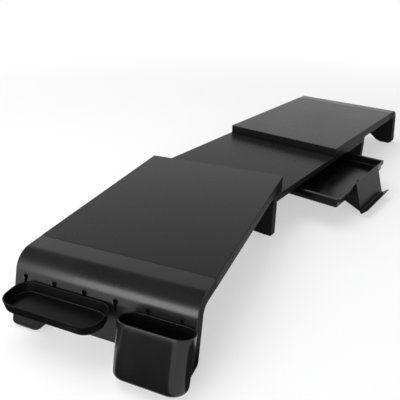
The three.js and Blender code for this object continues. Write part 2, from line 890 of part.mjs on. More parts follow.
function keyholeTools(y) {
  const hole = new THREE.Shape();
  const shoulder = Math.asin(keyholeSlotRadius / keyholeRadius);
  hole.absarc(y, 0, keyholeRadius, -Math.PI / 2 + shoulder, 1.5 * Math.PI - shoulder, false);
  hole.absarc(y, -keyholeDrop, keyholeSlotRadius, Math.PI, 2 * Math.PI, false);
  const pocket = roundedOutline(
    y - pocketHalfWidth,
    -pocketBelow,
    y + pocketHalfWidth,
    pocketAbove,
    pocketRadius,
  );
  const pocketEnd = -keyholeWall - 2 * outerBendRadius;
  return [
    ontoOuterFace(alongX(hole, -keyholeWall - cutOverrun, cutOverrun, 0, keyholeSteps)),
    ontoOuterFace(alongX(pocket, pocketEnd, -keyholeWall, 0, pocketSteps)),
  ];
}

function endLeg(withKeyholes) {
  const section = fromFrontToRear(endLegSection(), 0, shelfDepth, endLegBevel, bendSteps);
  const side = alongX(
    endLegSide(),
    shelfSeam - tongueLength - cutOverrun,
    outerFaceAt(0) + cutOverrun,
    0,
    roundSteps,
  );
  const shoulders = [-cutOverrun, shelfDepth - tongueSideInset].map((y) => (
    block(
      shelfSeam - tongueLength - cutOverrun,
      shelfSeam + seatGap,
      y,
      y + tongueSideInset + cutOverrun,
      shelfUnderside - cutOverrun,
      shelfTop + cutOverrun,
    )
  ));
  const body = cut(common(section, side), ...shoulders);
  const screwTools = tongueScrewPlaces().flatMap(([x, y]) => [
    bar(x, y, shelfUnderside - cutOverrun, rebateHeight + cutOverrun, screwHoleRadius, screwSides),
    bar(x, y, shelfUnderside - cutOverrun, shelfUnderside + tongueCounterbore, screwHeadRadius + slideGap),
  ]);
  const keyholes = [];
  for (let index = 0; withKeyholes && index < keyholeCount; index += 1) {
    keyholes.push(...keyholeTools(keyholeAt(index)));
  }
  return cut(body, ...screwTools, ...keyholes);
}

function footPad() {
  const outline = roundedOutline(
    innerFaceAt(footBottom) + footPadInset,
    0,
    outerFaceAt(footBottom) - footPadInset,
    footLength - archRound - footPadEndInset,
    footPadRadius,
  );
  return standing(outline, 0, footPadHeight);
}

// What hangs on the left end leg, drawn for the right side like the rest

// A stud that goes through a keyhole, lying along x from the hanging piece's back wall
function stud(y, wall) {
  const root = hangGap + wall / 2;
  const neckEnd = -keyholeWall - slideGap;
  const profile = [
    [0, neckEnd - studHeadThickness],
    [studHeadRadius - studHeadThickness / 2, neckEnd - studHeadThickness],
    [studHeadRadius, neckEnd - studHeadThickness / 2],
    [studHeadRadius, neckEnd],
    [studNeckRadius, neckEnd],
    [studNeckRadius, root],
    [0, root],
  ];
  const geometry = new THREE.LatheGeometry(profile.map(([r, x]) => new THREE.Vector2(r, x)), holeSides);
  geometry.rotateZ(-Math.PI / 2).translate(0, y, -keyholeDrop);
  return ontoOuterFace(geometry);
}

function sideTray() {
  const middle = (keyholeAt(trayKeyholes[0]) + keyholeAt(trayKeyholes[1])) / 2;
  const bottom = trayRim - trayHeight;
  const backAt = (height) => outerFaceAt(height) + hangGap / Math.cos(splay);
  const frontAtRim = backAt(trayRim) + trayDepth;
  const level = (inset, height) => {
    const share = (trayRim - height) / trayHeight;
    const draft = trayDraft * share;
    return ring(
      backAt(height) + inset,
      middle - trayLength / 2 + inset + draft,
      frontAtRim - inset - draft,
      middle + trayLength / 2 - inset - draft,
      trayCornerRadius - inset,
      height,
    );
  };
  const floorTop = bottom + trayFloor;
  const shell = loft([
    level(trayRound, bottom),
    level(trayRound * filletShare, bottom + trayRound * filletShare),
    level(0, bottom + trayRound),
    level(0, trayRim - trayRimRound),
    level(trayRimRound, trayRim),
    level(trayWall - trayRimRound, trayRim),
    level(trayWall, trayRim - trayRimRound),
    level(trayWall, floorTop + trayRound),
    level(trayWall + trayRound * filletShare, floorTop + trayRound * filletShare),
    level(trayWall + trayRound, floorTop),
  ]);
  return join(shell, ...trayKeyholes.map((index) => stud(keyholeAt(index), trayWall)));
}

// The cup leans with the leg: it is drawn upright against the face and then turned onto it
function penCup() {
  const middle = (keyholeAt(cupKeyholes[0]) + keyholeAt(cupKeyholes[1])) / 2;
  const top = (cupRim - keyholeHeight) / Math.cos(splay);
  const bottom = top - cupHeight;
  const level = (inset, height) => {
    const narrowing = cupTaper * (top - height) / cupHeight;
    return ring(
      hangGap + inset,
      middle - cupLength / 2 + inset + narrowing,
      hangGap + cupDepth - inset - narrowing,
      middle + cupLength / 2 - inset - narrowing,
      cupCornerRadius - inset,
      height,
    );
  };
  const rounded = (wall, floor) => {
    const rings = [];
    for (let step = 0; step <= roundSteps; step += 1) {
      const angle = (step / roundSteps) * Math.PI / 2;
      rings.push(level(wall + cupRound * (1 - Math.sin(angle)), floor + cupRound * (1 - Math.cos(angle))));
    }
    return rings;
  };
  const shell = loft([
    ...rounded(0, bottom),
    level(0, top - cupRimRound),
    level(cupRimRound, top),
    level(cupWall - cupRimRound, top),
    level(cupWall, top - cupRimRound),
    ...rounded(cupWall, bottom + cupFloor).reverse(),
  ]);
  return join(ontoOuterFace(shell), ...cupKeyholes.map((index) => stud(keyholeAt(index), cupWall)));
}

// Clamp pieces, drawn round x = 0, y = 0

function clampNut() {
  const half = nutLength / 2;
  const outline = roundedOutline(-half, -nutWidth / 2, half, nutWidth / 2, benchCornerRadius / 2);
  const plate = standing(outline, nutBottom, nutBottom + nutThickness);
  return cut(plate, bar(0, 0, nutBottom - cutOverrun, nutBottom + nutThickness + cutOverrun, nutHoleRadius));
}

const washerTop = benchUnderside - seatGap;
const knobTop = washerTop - washerThickness - seatGap;
const knobBottom = knobTop - knobHeight;
const boltSeat = knobBottom + knobRecessDepth;

function clampWasher() {
  const disc = bar(0, 0, washerTop - washerThickness, washerTop, washerRadius);
  const hole = bar(0, 0, washerTop - washerThickness - cutOverrun, washerTop + cutOverrun, boltHoleRadius);
  return cut(disc, hole);
}

function clampKnob() {
  const points = [];
  const count = knobLobes * knobLobeSteps;
  for (let i = 0; i < count; i += 1) {
    const angle = (i / count) * 2 * Math.PI;
    const radius = knobRadius - knobLobeHeight + knobLobeHeight * Math.cos(knobLobes * angle);
    points.push([radius * Math.cos(angle), radius * Math.sin(angle)]);
  }
  const body = standing(polygon(points), knobBottom, knobTop, knobBevel);
  const bore = bar(0, 0, knobBottom - cutOverrun, knobTop + cutOverrun, boltHoleRadius);
  const recess = bar(0, 0, knobBottom - cutOverrun, boltSeat, boltHeadRadius + slideGap, hexSides);
  return cut(body, bore, recess);
}

function clampBolt() {
  const head = bar(0, 0, boltSeat - seatGap - boltHeadHeight, boltSeat - seatGap, boltHeadRadius, hexSides);
  const shank = bar(0, 0, boltSeat - seatGap - joinDepth, boltTop, boltRadius);
  return join(head, shank);
}

// Assembly

const model = new THREE.Group();

function addBench() {
  const bench = new THREE.Group();
  bench.add(piece('bench_board', benchBoard(), boardBlack));
  const sides = [
    { name: 'left', place: (geometry) => geometry },
    { name: 'right', place: (geometry) => mirrored(geometry).translate(benchLength, 0, 0) },
  ];
  for (const side of sides) {
    bench.add(piece(`bench_${side.name}_leg`, side.place(benchLeg()), boardBlack));
    bench.add(piece(`${side.name}_runner`, side.place(drawerRunner()), blackSteel));
    const padPlaces = [benchPadEndInset, benchDepth - benchPadEndInset - benchPadLength];
    padPlaces.forEach((y, index) => {
      const name = `bench_${side.name}_pad_${index === 0 ? 'front' : 'rear'}`;
      bench.add(piece(name, side.place(benchPad().translate(0, y, 0)), rubberBlack));
    });
    legScrewShares.forEach((share, index) => {
      const seat = benchLegTop - legFlangeThickness - seatGap;
      const screw = woodScrew(legFlangeThickness + seatGap + screwBite);
      screw.translate(legScrewX, share * benchDepth, seat);
      bench.add(piece(`bench_${side.name}_leg_screw_${index + 1}`, side.place(screw), blackSteel));
    });
    runnerScrewShares.forEach((share, index) => {
      const seat = benchLegTop - runnerThickness - seatGap;
      const screw = woodScrew(seatGap + runnerThickness + seatGap + screwBite - seatGap);
      screw.translate(runnerScrewX, runnerStart + share * runnerLength, seat);
      bench.add(piece(`${side.name}_runner_screw_${index + 1}`, side.place(screw), zincSteel));
    });
  }
  bench.add(piece('drawer_tray', drawerTray(), softBlack));
  bench.add(piece('phone_holder', phoneHolder(), softBlack));
  model.add(bench);
}

function addShelf(side) {
  const place = side.name === 'left' ? mirrored : (geometry) => geometry;
  const inward = side.name === 'left' ? 1 : -1;

  // Everything on the clamp's axis turns with the shelf
  const clamp = new THREE.Group();
  clamp.position.set(...side.clamp, 0);
  clamp.rotation.z = THREE.MathUtils.degToRad(side.swing);
  clamp.add(piece(`${side.name}_clamp_nut`, place(clampNut()), zincSteel));
  clamp.add(piece(`${side.name}_clamp_bolt`, place(clampBolt()), zincSteel));
  clamp.add(piece(`${side.name}_clamp_washer`, place(clampWasher()), zincSteel));
  clamp.add(piece(`${side.name}_clamp_knob`, place(clampKnob()), softBlack));

  // The shelf's own frame starts at the front corner of its inner end
  const shelf = new THREE.Group();
  shelf.position.set(inward * side.reach, -side.trackFromFront, 0);
  const add = (name, geometry, material) => {
    shelf.add(piece(`${side.name}_${name}`, place(geometry), material));
  };
  add('shelf_board', shelfBoard(side.trackFromFront), boardBlack);
  add('shelf_track', shelfTrack(side.trackFromFront), zincSteel);
  trackScrewPlaces(side.trackFromFront).forEach(([x, y], index) => {
    const seat = trackTop - trackWall - seatGap;
    const screw = woodScrew(seatGap + trackWall + trackScrewBite, trackScrewHeadHeight);
    add(`track_screw_${index + 1}`, screw.translate(x, y, seat), zincSteel);
  });
  add('end_leg', endLeg(side.withKeyholes), mouldedBlack);
  tongueScrewPlaces().forEach(([x, y], index) => {
    const seat = shelfUnderside + tongueCounterbore - seatGap;
    const screw = woodScrew(rebateHeight - seat + tongueScrewBite);
    add(`end_leg_screw_${index + 1}`, screw.translate(x, y, seat), blackSteel);
  });
  const padRear = shelfDepth - footLength + archRound;
  [footPadEndInset, padRear].forEach((y, index) => {
    add(`foot_pad_${index === 0 ? 'front' : 'rear'}`, footPad().translate(0, y, 0), rubberBlack);
  });
  if (side.withKeyholes) {
    shelf.add(piece('side_tray', place(sideTray()), softBlack));
    shelf.add(piece('pen_cup', place(penCup()), softBlack));
  }
  clamp.add(shelf);
  model.add(clamp);
}

addBench();
addShelf({
  name: 'left',
  clamp: clampPlaces[0],
  swing: leftSwing,
  reach: leftReach,
  trackFromFront: leftTrackFromFront,
  withKeyholes: true,
});
addShelf({
  name: 'right',
  clamp: clampPlaces[1],
  swing: rightSwing,
  reach: rightReach,
  trackFromFront: rightTrackFromFront,
  withKeyholes: false,
});

// The origin is moved to the middle of the riser's footprint, on the surface it stands on
model.updateMatrixWorld(true);
const bounds = new THREE.Box3().setFromObject(model, true);
const middle = bounds.getCenter(new THREE.Vector3());
model.position.set(-middle.x, -middle.y, -bounds.min.z);
model.updateMatrixWorld(true);

export default model;
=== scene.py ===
"""Dual monitor riser: the finished look of each piece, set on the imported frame.

Sizes in the code are in millimetres in the bench's own frame (x from its left end, y from its front edge, z up) or in
a shelf's (see on_shelf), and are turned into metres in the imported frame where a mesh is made. The user's sizes, the
stage and names that end in _m are in metres.
"""

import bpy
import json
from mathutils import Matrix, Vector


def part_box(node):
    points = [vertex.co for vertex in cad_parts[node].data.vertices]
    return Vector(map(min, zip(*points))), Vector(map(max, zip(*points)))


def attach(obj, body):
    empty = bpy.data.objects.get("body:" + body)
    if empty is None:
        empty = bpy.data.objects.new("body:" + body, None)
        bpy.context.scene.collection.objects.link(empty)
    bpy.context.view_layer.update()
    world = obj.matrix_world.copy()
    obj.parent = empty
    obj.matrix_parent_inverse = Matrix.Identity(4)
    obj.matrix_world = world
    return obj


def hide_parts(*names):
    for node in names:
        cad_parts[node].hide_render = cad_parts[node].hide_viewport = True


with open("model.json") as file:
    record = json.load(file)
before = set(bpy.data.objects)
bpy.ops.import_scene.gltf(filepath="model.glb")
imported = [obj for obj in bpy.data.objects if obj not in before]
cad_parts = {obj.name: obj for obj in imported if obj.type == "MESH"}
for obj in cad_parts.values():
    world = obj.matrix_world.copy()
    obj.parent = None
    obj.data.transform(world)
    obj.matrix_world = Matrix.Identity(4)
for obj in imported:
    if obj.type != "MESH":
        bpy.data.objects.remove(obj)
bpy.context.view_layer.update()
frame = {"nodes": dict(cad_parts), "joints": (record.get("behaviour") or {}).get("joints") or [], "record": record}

import json
import math

import bmesh
import bpy
import numpy as np
from mathutils import Matrix, Vector

bl_info = {
    "name": "Dual monitor riser",
    "version": (1, 0, 0),
    "blender": (4, 5, 0),
    "location": "View3D > Sidebar > Riser",
    "description": "Makes the boards, end legs, drawer, tray, cup and fittings of a dual monitor riser",
    "category": "Object",
}

MM = 0.001
JOINTS = {joint["name"]: joint for joint in frame["joints"]}
BENCH_LOW, BENCH_HIGH = (np.array(corner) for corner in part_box("bench_board"))
BENCH_CORNER = np.array([BENCH_LOW[0], BENCH_LOW[1], 0.0])


# Sizes and colours that a user would change


def length_setting(name, description, default, least, most):
    """A length in metres."""
    return bpy.props.FloatProperty(name=name, description=description, default=default, min=least, max=most,
                                   unit="LENGTH", subtype="DISTANCE")


def colour_setting(name, description, default):
    """A linear colour."""
    return bpy.props.FloatVectorProperty(name=name, description=description, default=default, min=0.0, max=1.0,
                                         subtype="COLOR", size=3)


class RiserSizes(bpy.types.PropertyGroup):
    """Sizes, colours and light of the riser."""

    board_edge: length_setting("Board edge radius", "Rounding along the edges of the boards", 0.0009, 0.0002, 0.003)
    leg_edge: length_setting(
        "End leg edge radius", "Rounding along the front and rear edges of the moulded end legs", 0.0016, 0.0003, 0.004)
    keyhole_lip: length_setting("Keyhole lip radius", "Rounding of each keyhole's mouth", 0.0005, 0.0001, 0.001)
    rim_edge: length_setting(
        "Rim radius", "Rounding on both sides of the tray's and the cup's rim", 0.0008, 0.0002, 0.001)
    laminate: colour_setting("Laminate", "Colour of the boards' laminate", (0.0138, 0.0138, 0.0143))
    moulding: colour_setting("Moulding", "Colour of the moulded end legs", (0.008, 0.008, 0.0083))
    accessory: colour_setting("Accessory", "Colour of the drawer, tray, cup and holder", (0.0046, 0.0046, 0.0049))
    rubber: colour_setting("Rubber", "Colour of the pads under the feet", (0.018, 0.018, 0.018))
    zinc: colour_setting("Zinc", "Colour of the plated track and clamp parts", (0.56, 0.57, 0.59))
    key_light: bpy.props.FloatProperty(
        name="Key light", description="Power of the large lamp over the riser", default=46.0, min=0.0)
    side_light: bpy.props.FloatProperty(
        name="Side light", description="Power of the long low lamp that draws the sheen on the end legs",
        default=41.0, min=0.0)
    wall: bpy.props.FloatProperty(
        name="Wall", description="Brightness of the studio's white wall all round", default=1.0, min=0.0, max=2.0)
    ceiling: bpy.props.FloatProperty(
        name="Ceiling", description="Brightness of the dim ceiling over the wall", default=0.12, min=0.0, max=2.0)


def sizes():
    """The user's sizes and colours."""
    return bpy.context.scene.riser_sizes


# Meshes

WELD_M, SLIVER_M, COPY_WELD_M = 4e-6, 1e-7, 2e-6
FLAT_ANGLE, SHARP_ANGLE, BEVEL_ANGLE = (math.radians(angle) for angle in (0.6, 35.0, 40.0))
UPRIGHT, FACING = 0.6, 0.3


def patch(points, ring=False, keep=None):
    """A grid of points as (points, faces): a face joins a point, the next in its row and the two in the row below.

    The rows close on themselves if ring is true. keep is a mask of the faces that stay.
    """
    rows, columns = points.shape[:2]
    row = np.arange(rows - 1)[:, None] * columns
    column = np.arange(columns if ring else columns - 1)[None, :]
    following, below = (column + 1) % columns, row + columns
    quads = np.stack([row + column, row + following, below + following, below + column], axis=-1)
    if keep is not None:
        quads = quads[keep]
    return points.reshape(-1, 3), quads.reshape(-1, 4)


def joined(patches):
    """Several (points, faces) as one."""
    points, faces, start = [], [], 0
    for some, quads in patches:
        points.append(some)
        faces.append(quads + start)
        start += len(some)
    return np.concatenate(points), np.concatenate(faces)


def put(name, data):
    """A new object in the scene that shows some data."""
    shown = bpy.data.objects.new(name, data)
    bpy.context.scene.collection.objects.link(shown)
    return shown


def smoothed(mesh, sharp):
    """Shades a mesh smooth, apart from the edges that turn by more than the angle sharp."""
    mesh.polygons.foreach_set("use_smooth", np.ones(len(mesh.polygons), dtype=bool))
    mesh.set_sharp_from_angle(angle=sharp)


def stand_in(node, mesh):
    """A mesh as the piece that stands for a CAD node, on the body that carries the node."""
    bodies = frame["record"]["behaviour"]["bodies"]
    piece = put(node + "_dressed", mesh)
    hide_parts(node)
    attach(piece, next(body for body, nodes in bodies.items() if node in nodes))
    return piece


def make_piece(node, patches, place, finish, edge_finish=None, show_way=None):
    """Welds patches into one closed mesh with its faces outwards, which stands for a CAD node.

    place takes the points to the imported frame. Where edge_finish is given, upright faces take it, or with a show_way
    the faces that don't look that way.
    """
    points, faces = joined(patches)
    mesh = bpy.data.meshes.new(node + "_dressed")
    mesh.from_pydata(place(points), [], faces)
    work = bmesh.new()
    work.from_mesh(mesh)
    bmesh.ops.remove_doubles(work, verts=work.verts, dist=WELD_M)
    bmesh.ops.dissolve_degenerate(work, edges=work.edges, dist=SLIVER_M)
    bmesh.ops.recalc_face_normals(work, faces=work.faces)
    open_edges = sum(1 for edge in work.edges if len(edge.link_faces) != 2)
    work.to_mesh(mesh)
    work.free()
    if open_edges:
        raise RuntimeError(f"{node} has {open_edges} edges that don't join two faces")
    smoothed(mesh, SHARP_ANGLE)
    mesh.materials.append(finish)
    if edge_finish:
        mesh.materials.append(edge_finish)
        normals = np.empty(len(mesh.polygons) * 3)
        mesh.polygons.foreach_get("normal", normals)
        normals = normals.reshape(-1, 3)
        on_edge = np.abs(normals[:, 2]) < UPRIGHT if show_way is None else normals @ show_way < FACING
        mesh.polygons.foreach_set("material_index", on_edge.astype(np.int32))
    stand_in(node, mesh)


def welded_copy(node, finish, bevel):
    """A CAD node's own shape with its triangles welded, its flats made whole and its edges eased by a bevel."""
    mesh = frame["nodes"][node].data.copy()
    mesh.name = node + "_dressed"
    work = bmesh.new()
    work.from_mesh(mesh)
    bmesh.ops.remove_doubles(work, verts=work.verts, dist=COPY_WELD_M)
    bmesh.ops.dissolve_limit(work, angle_limit=FLAT_ANGLE, verts=work.verts, edges=work.edges)
    bmesh.ops.recalc_face_normals(work, faces=work.faces)
    work.to_mesh(mesh)
    work.free()
    mesh.materials.clear()
    mesh.materials.append(finish)
    mesh.polygons.foreach_set("material_index", np.zeros(len(mesh.polygons), dtype=np.int32))
    smoothed(mesh, BEVEL_ANGLE)
    ease = stand_in(node, mesh).modifiers.new("eased_edges", "BEVEL")
    ease.width = bevel
    ease.segments = 2
    ease.limit_method = "ANGLE"
    ease.angle_limit = BEVEL_ANGLE
    ease.harden_normals = True


# Surfaces

BOARD_STEP, HAIR = 24.0, 0.03
CAP_SHARES = (0.0, 0.12, 0.5, 0.88, 1.0)


def rim_of(points):
    """The border of a grid of points, once round."""
    return np.concatenate([points[:, 0], points[-1, 1:], points[-2::-1, -1], points[0, -2:0:-1]])


def eased_lines(low, high, radius, extra):
    """Grid lines from low to high: the steps of a quarter circle near both ends, even steps between, extra lines."""
    turn = np.linspace(0.0, np.pi / 2, 5)
    near = radius * (1 - np.cos(turn))
    even = np.linspace(low + radius, high - radius, max(2, int(round((high - low) / BOARD_STEP)) + 1))
    lines = np.concatenate([low + near, even, high - near, np.asarray(extra, dtype=float)])
    lines = np.unique(np.round(lines, 4))
    return lines[(lines >= low) & (lines <= high)]


def board_patches(low, high, ease, corner, recesses=()):
    """A board as a height field over its outline, closed by its side walls.

    The outline is a rectangle whose corner squares are pulled onto quarter discs. Top and underside fall away as a
    quarter circle within ease of the outline. A recess (x0, x1, y0, y1, depth) lifts the underside over a rectangle
    whose walls are two hairs wide.
    """
    low, high = np.asarray(low, dtype=float), np.asarray(high, dtype=float)
    discs = [corner * share for share in (0.25, 0.5, 0.75, 1.0)]
    lines = []
    for axis, sides in enumerate((slice(0, 2), slice(2, 4))):
        walls = [wall + side for recess in recesses for wall in recess[sides] for side in (-HAIR, HAIR)]
        ends = [low[axis] + disc for disc in discs] + [high[axis] - disc for disc in discs]
        lines.append(eased_lines(low[axis], high[axis], ease, walls + ends))
    place = np.stack(np.meshgrid(*lines, indexing="ij"), axis=-1)
    middle, half = (low + high)[:2] / 2, (high - low)[:2] / 2
    away = place - middle
    share = np.clip((np.abs(away) - (half - corner)) / corner, 0.0, 1.0)
    in_corner = (share > 0).all(axis=-1)
    disc = share * np.sqrt(1 - share[..., ::-1] ** 2 / 2)
    pulled = middle + np.sign(away) * (half - corner + corner * disc)
    outline = np.where(in_corner[..., None], pulled, place)
    to_side = (half - np.abs(away)).min(axis=-1)
    inside = np.where(in_corner, corner * (1 - np.hypot(disc[..., 0], disc[..., 1])), to_side)
    short = np.clip(ease - inside, 0.0, ease)
    fall = ease - np.sqrt(np.clip(ease * ease - short * short, 0.0, None))
    x, y = place[..., 0], place[..., 1]
    lift = fall.copy()
    for x0, x1, y0, y1, deep in recesses:
        lift[(x > x0) & (x < x1) & (y > y0) & (y < y1)] = deep
    top, under = np.dstack([outline, high[2] - fall]), np.dstack([outline, low[2] + lift])
    return [patch(top), patch(under), patch(np.stack([rim_of(top), rim_of(under)]), ring=True)]


def rounded_box_ring(low, high, radius, steps, straight):
    """Points round a rectangle with corners of a radius: quarter circles joined by straight runs, counter-clockwise."""
    angle = np.linspace(0.0, np.pi / 2, steps + 1)
    centres = [(high[0] - radius, high[1] - radius), (low[0] + radius, high[1] - radius),
               (low[0] + radius, low[1] + radius), (high[0] - radius, low[1] + radius)]
    arcs = [np.stack([cx + radius * np.cos(angle + quarter * np.pi / 2),
                      cy + radius * np.sin(angle + quarter * np.pi / 2)], axis=-1)
            for quarter, (cx, cy) in enumerate(centres)]
    runs = []
    share = np.linspace(0.0, 1.0, straight + 1)[1:-1, None]
    for quarter in range(4):
        end, start = arcs[quarter][-1], arcs[(quarter + 1) % 4][0]
        runs += [arcs[quarter], end + (start - end) * share]
    return np.concatenate(runs)


def lofted(level, profile):
    """Carries a closed outline along a profile of (inset, height) pairs; level(inset, height) gives one ring.

    The first and the last ring are closed by faces drawn in to their middle line.
    """
    rings = np.stack([level(inset, height) for inset, height in profile])
    return [patch(rings, ring=True), closing(rings[0]), closing(rings[-1])]


def closing(loop):
    """A flat cap for a ring with an even count of points: each point is joined to its mirror across the long axis."""
    count = len(loop)
    spread = loop.max(axis=0) - loop.min(axis=0)
    along = int(np.argmax(spread[:2]))
    first = int(np.argmax(loop[:, along]))
    loop = np.roll(loop, -first, axis=0)
    half = count // 2
    ahead, behind = loop[: half + 1], np.concatenate([loop[:1], loop[: half - 1 : -1]])
    share = np.array(CAP_SHARES)[None, :, None]
    return patch(ahead[:, None] * (1 - share) + behind[:, None] * share)


def quarter_round(radius, steps):
    """(distance from the flank, distance from the crown) pairs along a quarter circle, flank first."""
    angle = np.linspace(0.0, np.pi / 2, steps + 1)
    return list(zip(radius * (1 - np.cos(angle)), radius * (1 - np.sin(angle))))


def hollow_profile(bottom, top, wall, floor, sole, inside, rim_edge, shares=()):
    """(inset, height) pairs up round the sole, up the flank, over the rim and down the inside to the floor.

    The sole and the inside corner are quarter circles given as (radius, steps), and the rim's two sides are quarter
    circles of rim_edge. shares are places on the flank.
    """
    over = [(inset, top - down) for inset, down in quarter_round(rim_edge, 5)]
    return ([(inset, bottom + up) for inset, up in reversed(quarter_round(*sole))]
            + [(0.0, bottom + (top - bottom) * share) for share in shares]
            + over + [(wall - inset, height) for inset, height in reversed(over)]
            + [(wall + inset, bottom + floor + up) for inset, up in quarter_round(*inside)])


# Where the bench and the shelves are. The clamp is at reach from a shelf's inner end and at track from its front edge

LEFT_TURN = math.atan2(JOINTS["left_reach"]["axis"][1], JOINTS["left_reach"]["axis"][0])
SHELVES = {
    "left": dict(mirror=-1.0, reach=20.0, track=36.0, turn=LEFT_TURN, pivot=JOINTS["left_swing"]["pos_m"]),
    "right": dict(mirror=1.0, reach=162.4, track=48.1, turn=0.0, pivot=JOINTS["right_swing"]["pos_m"]),
}


def on_bench(points):
    """Takes the bench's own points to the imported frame."""
    return points * MM + BENCH_CORNER


def on_shelf(side):
    """Takes a shelf's own points (x outwards from its inner end, y from its front edge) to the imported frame.

    The point's place from the clamp is mirrored on the left, turned by the shelf's swing and added to the clamp's.
    """
    shelf = SHELVES[side]
    cosine, sine = math.cos(shelf["turn"]), math.sin(shelf["turn"])

    def place(points):
        out = shelf["mirror"] * (points[:, 0] - shelf["reach"]) * MM
        back = (points[:, 1] - shelf["track"]) * MM
        return np.stack([shelf["pivot"][0] + out * cosine - back * sine,
                         shelf["pivot"][1] + out * sine + back * cosine,
                         points[:, 2] * MM], axis=-1)

    return place


# Boards

SHELF_DEPTH = 280.0
SHELF_UNDER, SHELF_TOP = 85.5, 105.0
SEAM = 365.0
GAP = 0.3
TONGUE_LENGTH, TONGUE_SIDE, TONGUE_THICK = 40.0, 9.0, 9.0
TONGUE_SCREWS = [SHELF_DEPTH * share for share in (0.14, 0.5, 0.86)]
TONGUE_BORE, TONGUE_BORE_DEPTH = 3.8, 3.2
TONGUE_LIFT, TONGUE_ROOT = 0.05, 3.0
TRACK_START, TRACK_LENGTH, TRACK_WIDTH, TRACK_DEPTH = 10.0, 182.0, 18.6, 11.3
BENCH_CORNER_ROUND, SHELF_CORNER_ROUND, TONGUE_CORNER_ROUND, TONGUE_EDGE = 3.0, 2.0, 1.0, 0.5


def shelf_board(side, edge):
    """The shelf's board with the groove for its track and the rebate for the end leg's tongue."""
    middle = SHELVES[side]["track"]
    groove = (TRACK_START - GAP, TRACK_START + TRACK_LENGTH + GAP,
              middle - TRACK_WIDTH / 2 - GAP, middle + TRACK_WIDTH / 2 + GAP, TRACK_DEPTH)
    rebate = (SEAM - TONGUE_LENGTH - GAP, SEAM + 1.0, TONGUE_SIDE - GAP, SHELF_DEPTH - TONGUE_SIDE + GAP,
              TONGUE_THICK + GAP)
    low, high = (0, 0, SHELF_UNDER), (SEAM, SHELF_DEPTH, SHELF_TOP)
    return board_patches(low, high, edge, SHELF_CORNER_ROUND, (groove, rebate))


# End legs

SPLAY = math.radians(18.4)
LEAN = math.radians(13.7)
OUTER_START, OUTER_RADIUS = 393.0, 33.0
INNER_START, INNER_RADIUS = 392.0, 14.0
FOOT, FOOT_LENGTH, ARCH_TOP = 2.5, 43.0, 22.5
ARCH_RISE = ARCH_TOP - FOOT
FOOT_ROUND, ARCH_EDGE = 5.5, 1.0
SIDE_ROUND, ARCH_ROUND = 7.0, 5.0
STATION_STEP = 8.0
FLAT_POINTS, BEND_POINTS, SHIN_POINTS, ROUND_POINTS, SOLE_POINTS = 7, 25, 12, 6, 4
KEY_Z = 75.5
KEYHOLES = 140.0 + 48.5 * (np.arange(6) - 2.5)
KEY_RADIUS, KEY_SLOT, KEY_DROP, KEY_WALL = 3.6, 2.3, 9.0, 9.0
POCKET_HALF, POCKET_UP, POCKET_DOWN, POCKET_ROUND = 4.2, 4.5, 15.0, 3.0
WINDOW_HALF, WINDOW_UP, WINDOW_DOWN = 7.0, 6.5, 17.5
WINDOW_ROWS, WINDOW_COLUMNS, WINDOW_CLEAR = 12, 8, 0.8
INNER_WINDOW_UP, INNER_WINDOW_DOWN = 1.0, 2.5
OUTER_BEND_X = OUTER_START + OUTER_RADIUS * math.cos(SPLAY)
OUTER_BEND_Z = SHELF_TOP - OUTER_RADIUS * (1 - math.sin(SPLAY))
INNER_BEND_X = INNER_START + INNER_RADIUS * math.cos(LEAN)
INNER_BEND_Z = SHELF_UNDER - INNER_RADIUS * (1 - math.sin(LEAN))
FACE_X = OUTER_BEND_X + (OUTER_BEND_Z - KEY_Z) * math.tan(SPLAY)


def on_face(out, y, up):
    """A point given by its distance out of the splayed outer face, along it and up it from the keyholes' height."""
    return np.stack(np.broadcast_arrays(
        FACE_X + out * math.cos(SPLAY) - up * math.sin(SPLAY),
        y,
        KEY_Z + out * math.sin(SPLAY) + up * math.cos(SPLAY)), axis=-1)


def depth_to_inner_face(up):
    """How deep a hole square to the outer face goes before it comes out of the inner face, where two lines meet."""
    rise = KEY_Z + up * math.cos(SPLAY)
    across = FACE_X - up * math.sin(SPLAY) - INNER_BEND_X - (INNER_BEND_Z - rise) * math.tan(LEAN)
    return across / (math.cos(SPLAY) + math.sin(SPLAY) * math.tan(LEAN))


def sole_height(y):
    """Height of the leg's lower edge: rounded at both ends, flat under the feet, an arch with 45 degree flanks."""
    end = np.minimum(y, SHELF_DEPTH - y)
    start, top = FOOT_LENGTH, FOOT_LENGTH + ARCH_RISE
    reach = np.clip(SIDE_ROUND - end, 0.0, SIDE_ROUND)
    corner = SIDE_ROUND - np.sqrt(np.clip(SIDE_ROUND**2 - reach**2, 0.0, None))
    rise = np.where(end < start + ARCH_ROUND,
                    np.clip(end - start + ARCH_ROUND, 0.0, None) ** 2 / (4 * ARCH_ROUND),
                    np.where(end < top - ARCH_ROUND, end - start,
                             ARCH_RISE - np.clip(top + ARCH_ROUND - end, 0.0, None) ** 2 / (4 * ARCH_ROUND)))
    return FOOT + corner + rise


def along_curve(points, share):
    """Points at shares of a polyline's length."""
    step = np.linalg.norm(np.diff(points, axis=0), axis=1)
    run = np.concatenate([[0.0], np.cumsum(step)])
    run /= run[-1]
    return np.stack([np.interp(share, run, points[:, axis]) for axis in range(points.shape[1])], axis=-1)


def along_both_halves(half, share):
    """Points at shares of the length of a loop that is half drawn, from its top down, and made whole by a mirror."""
    return along_curve(np.concatenate([half, half[-2::-1] * [-1, 1]]), share)


def share_of_length(loop):
    """How far round a closed loop each of its points is."""
    step = np.linalg.norm(np.diff(np.concatenate([loop, loop[:1]]), axis=0), axis=1)
    return np.concatenate([[0.0], np.cumsum(step)[:-1]]) / step.sum()


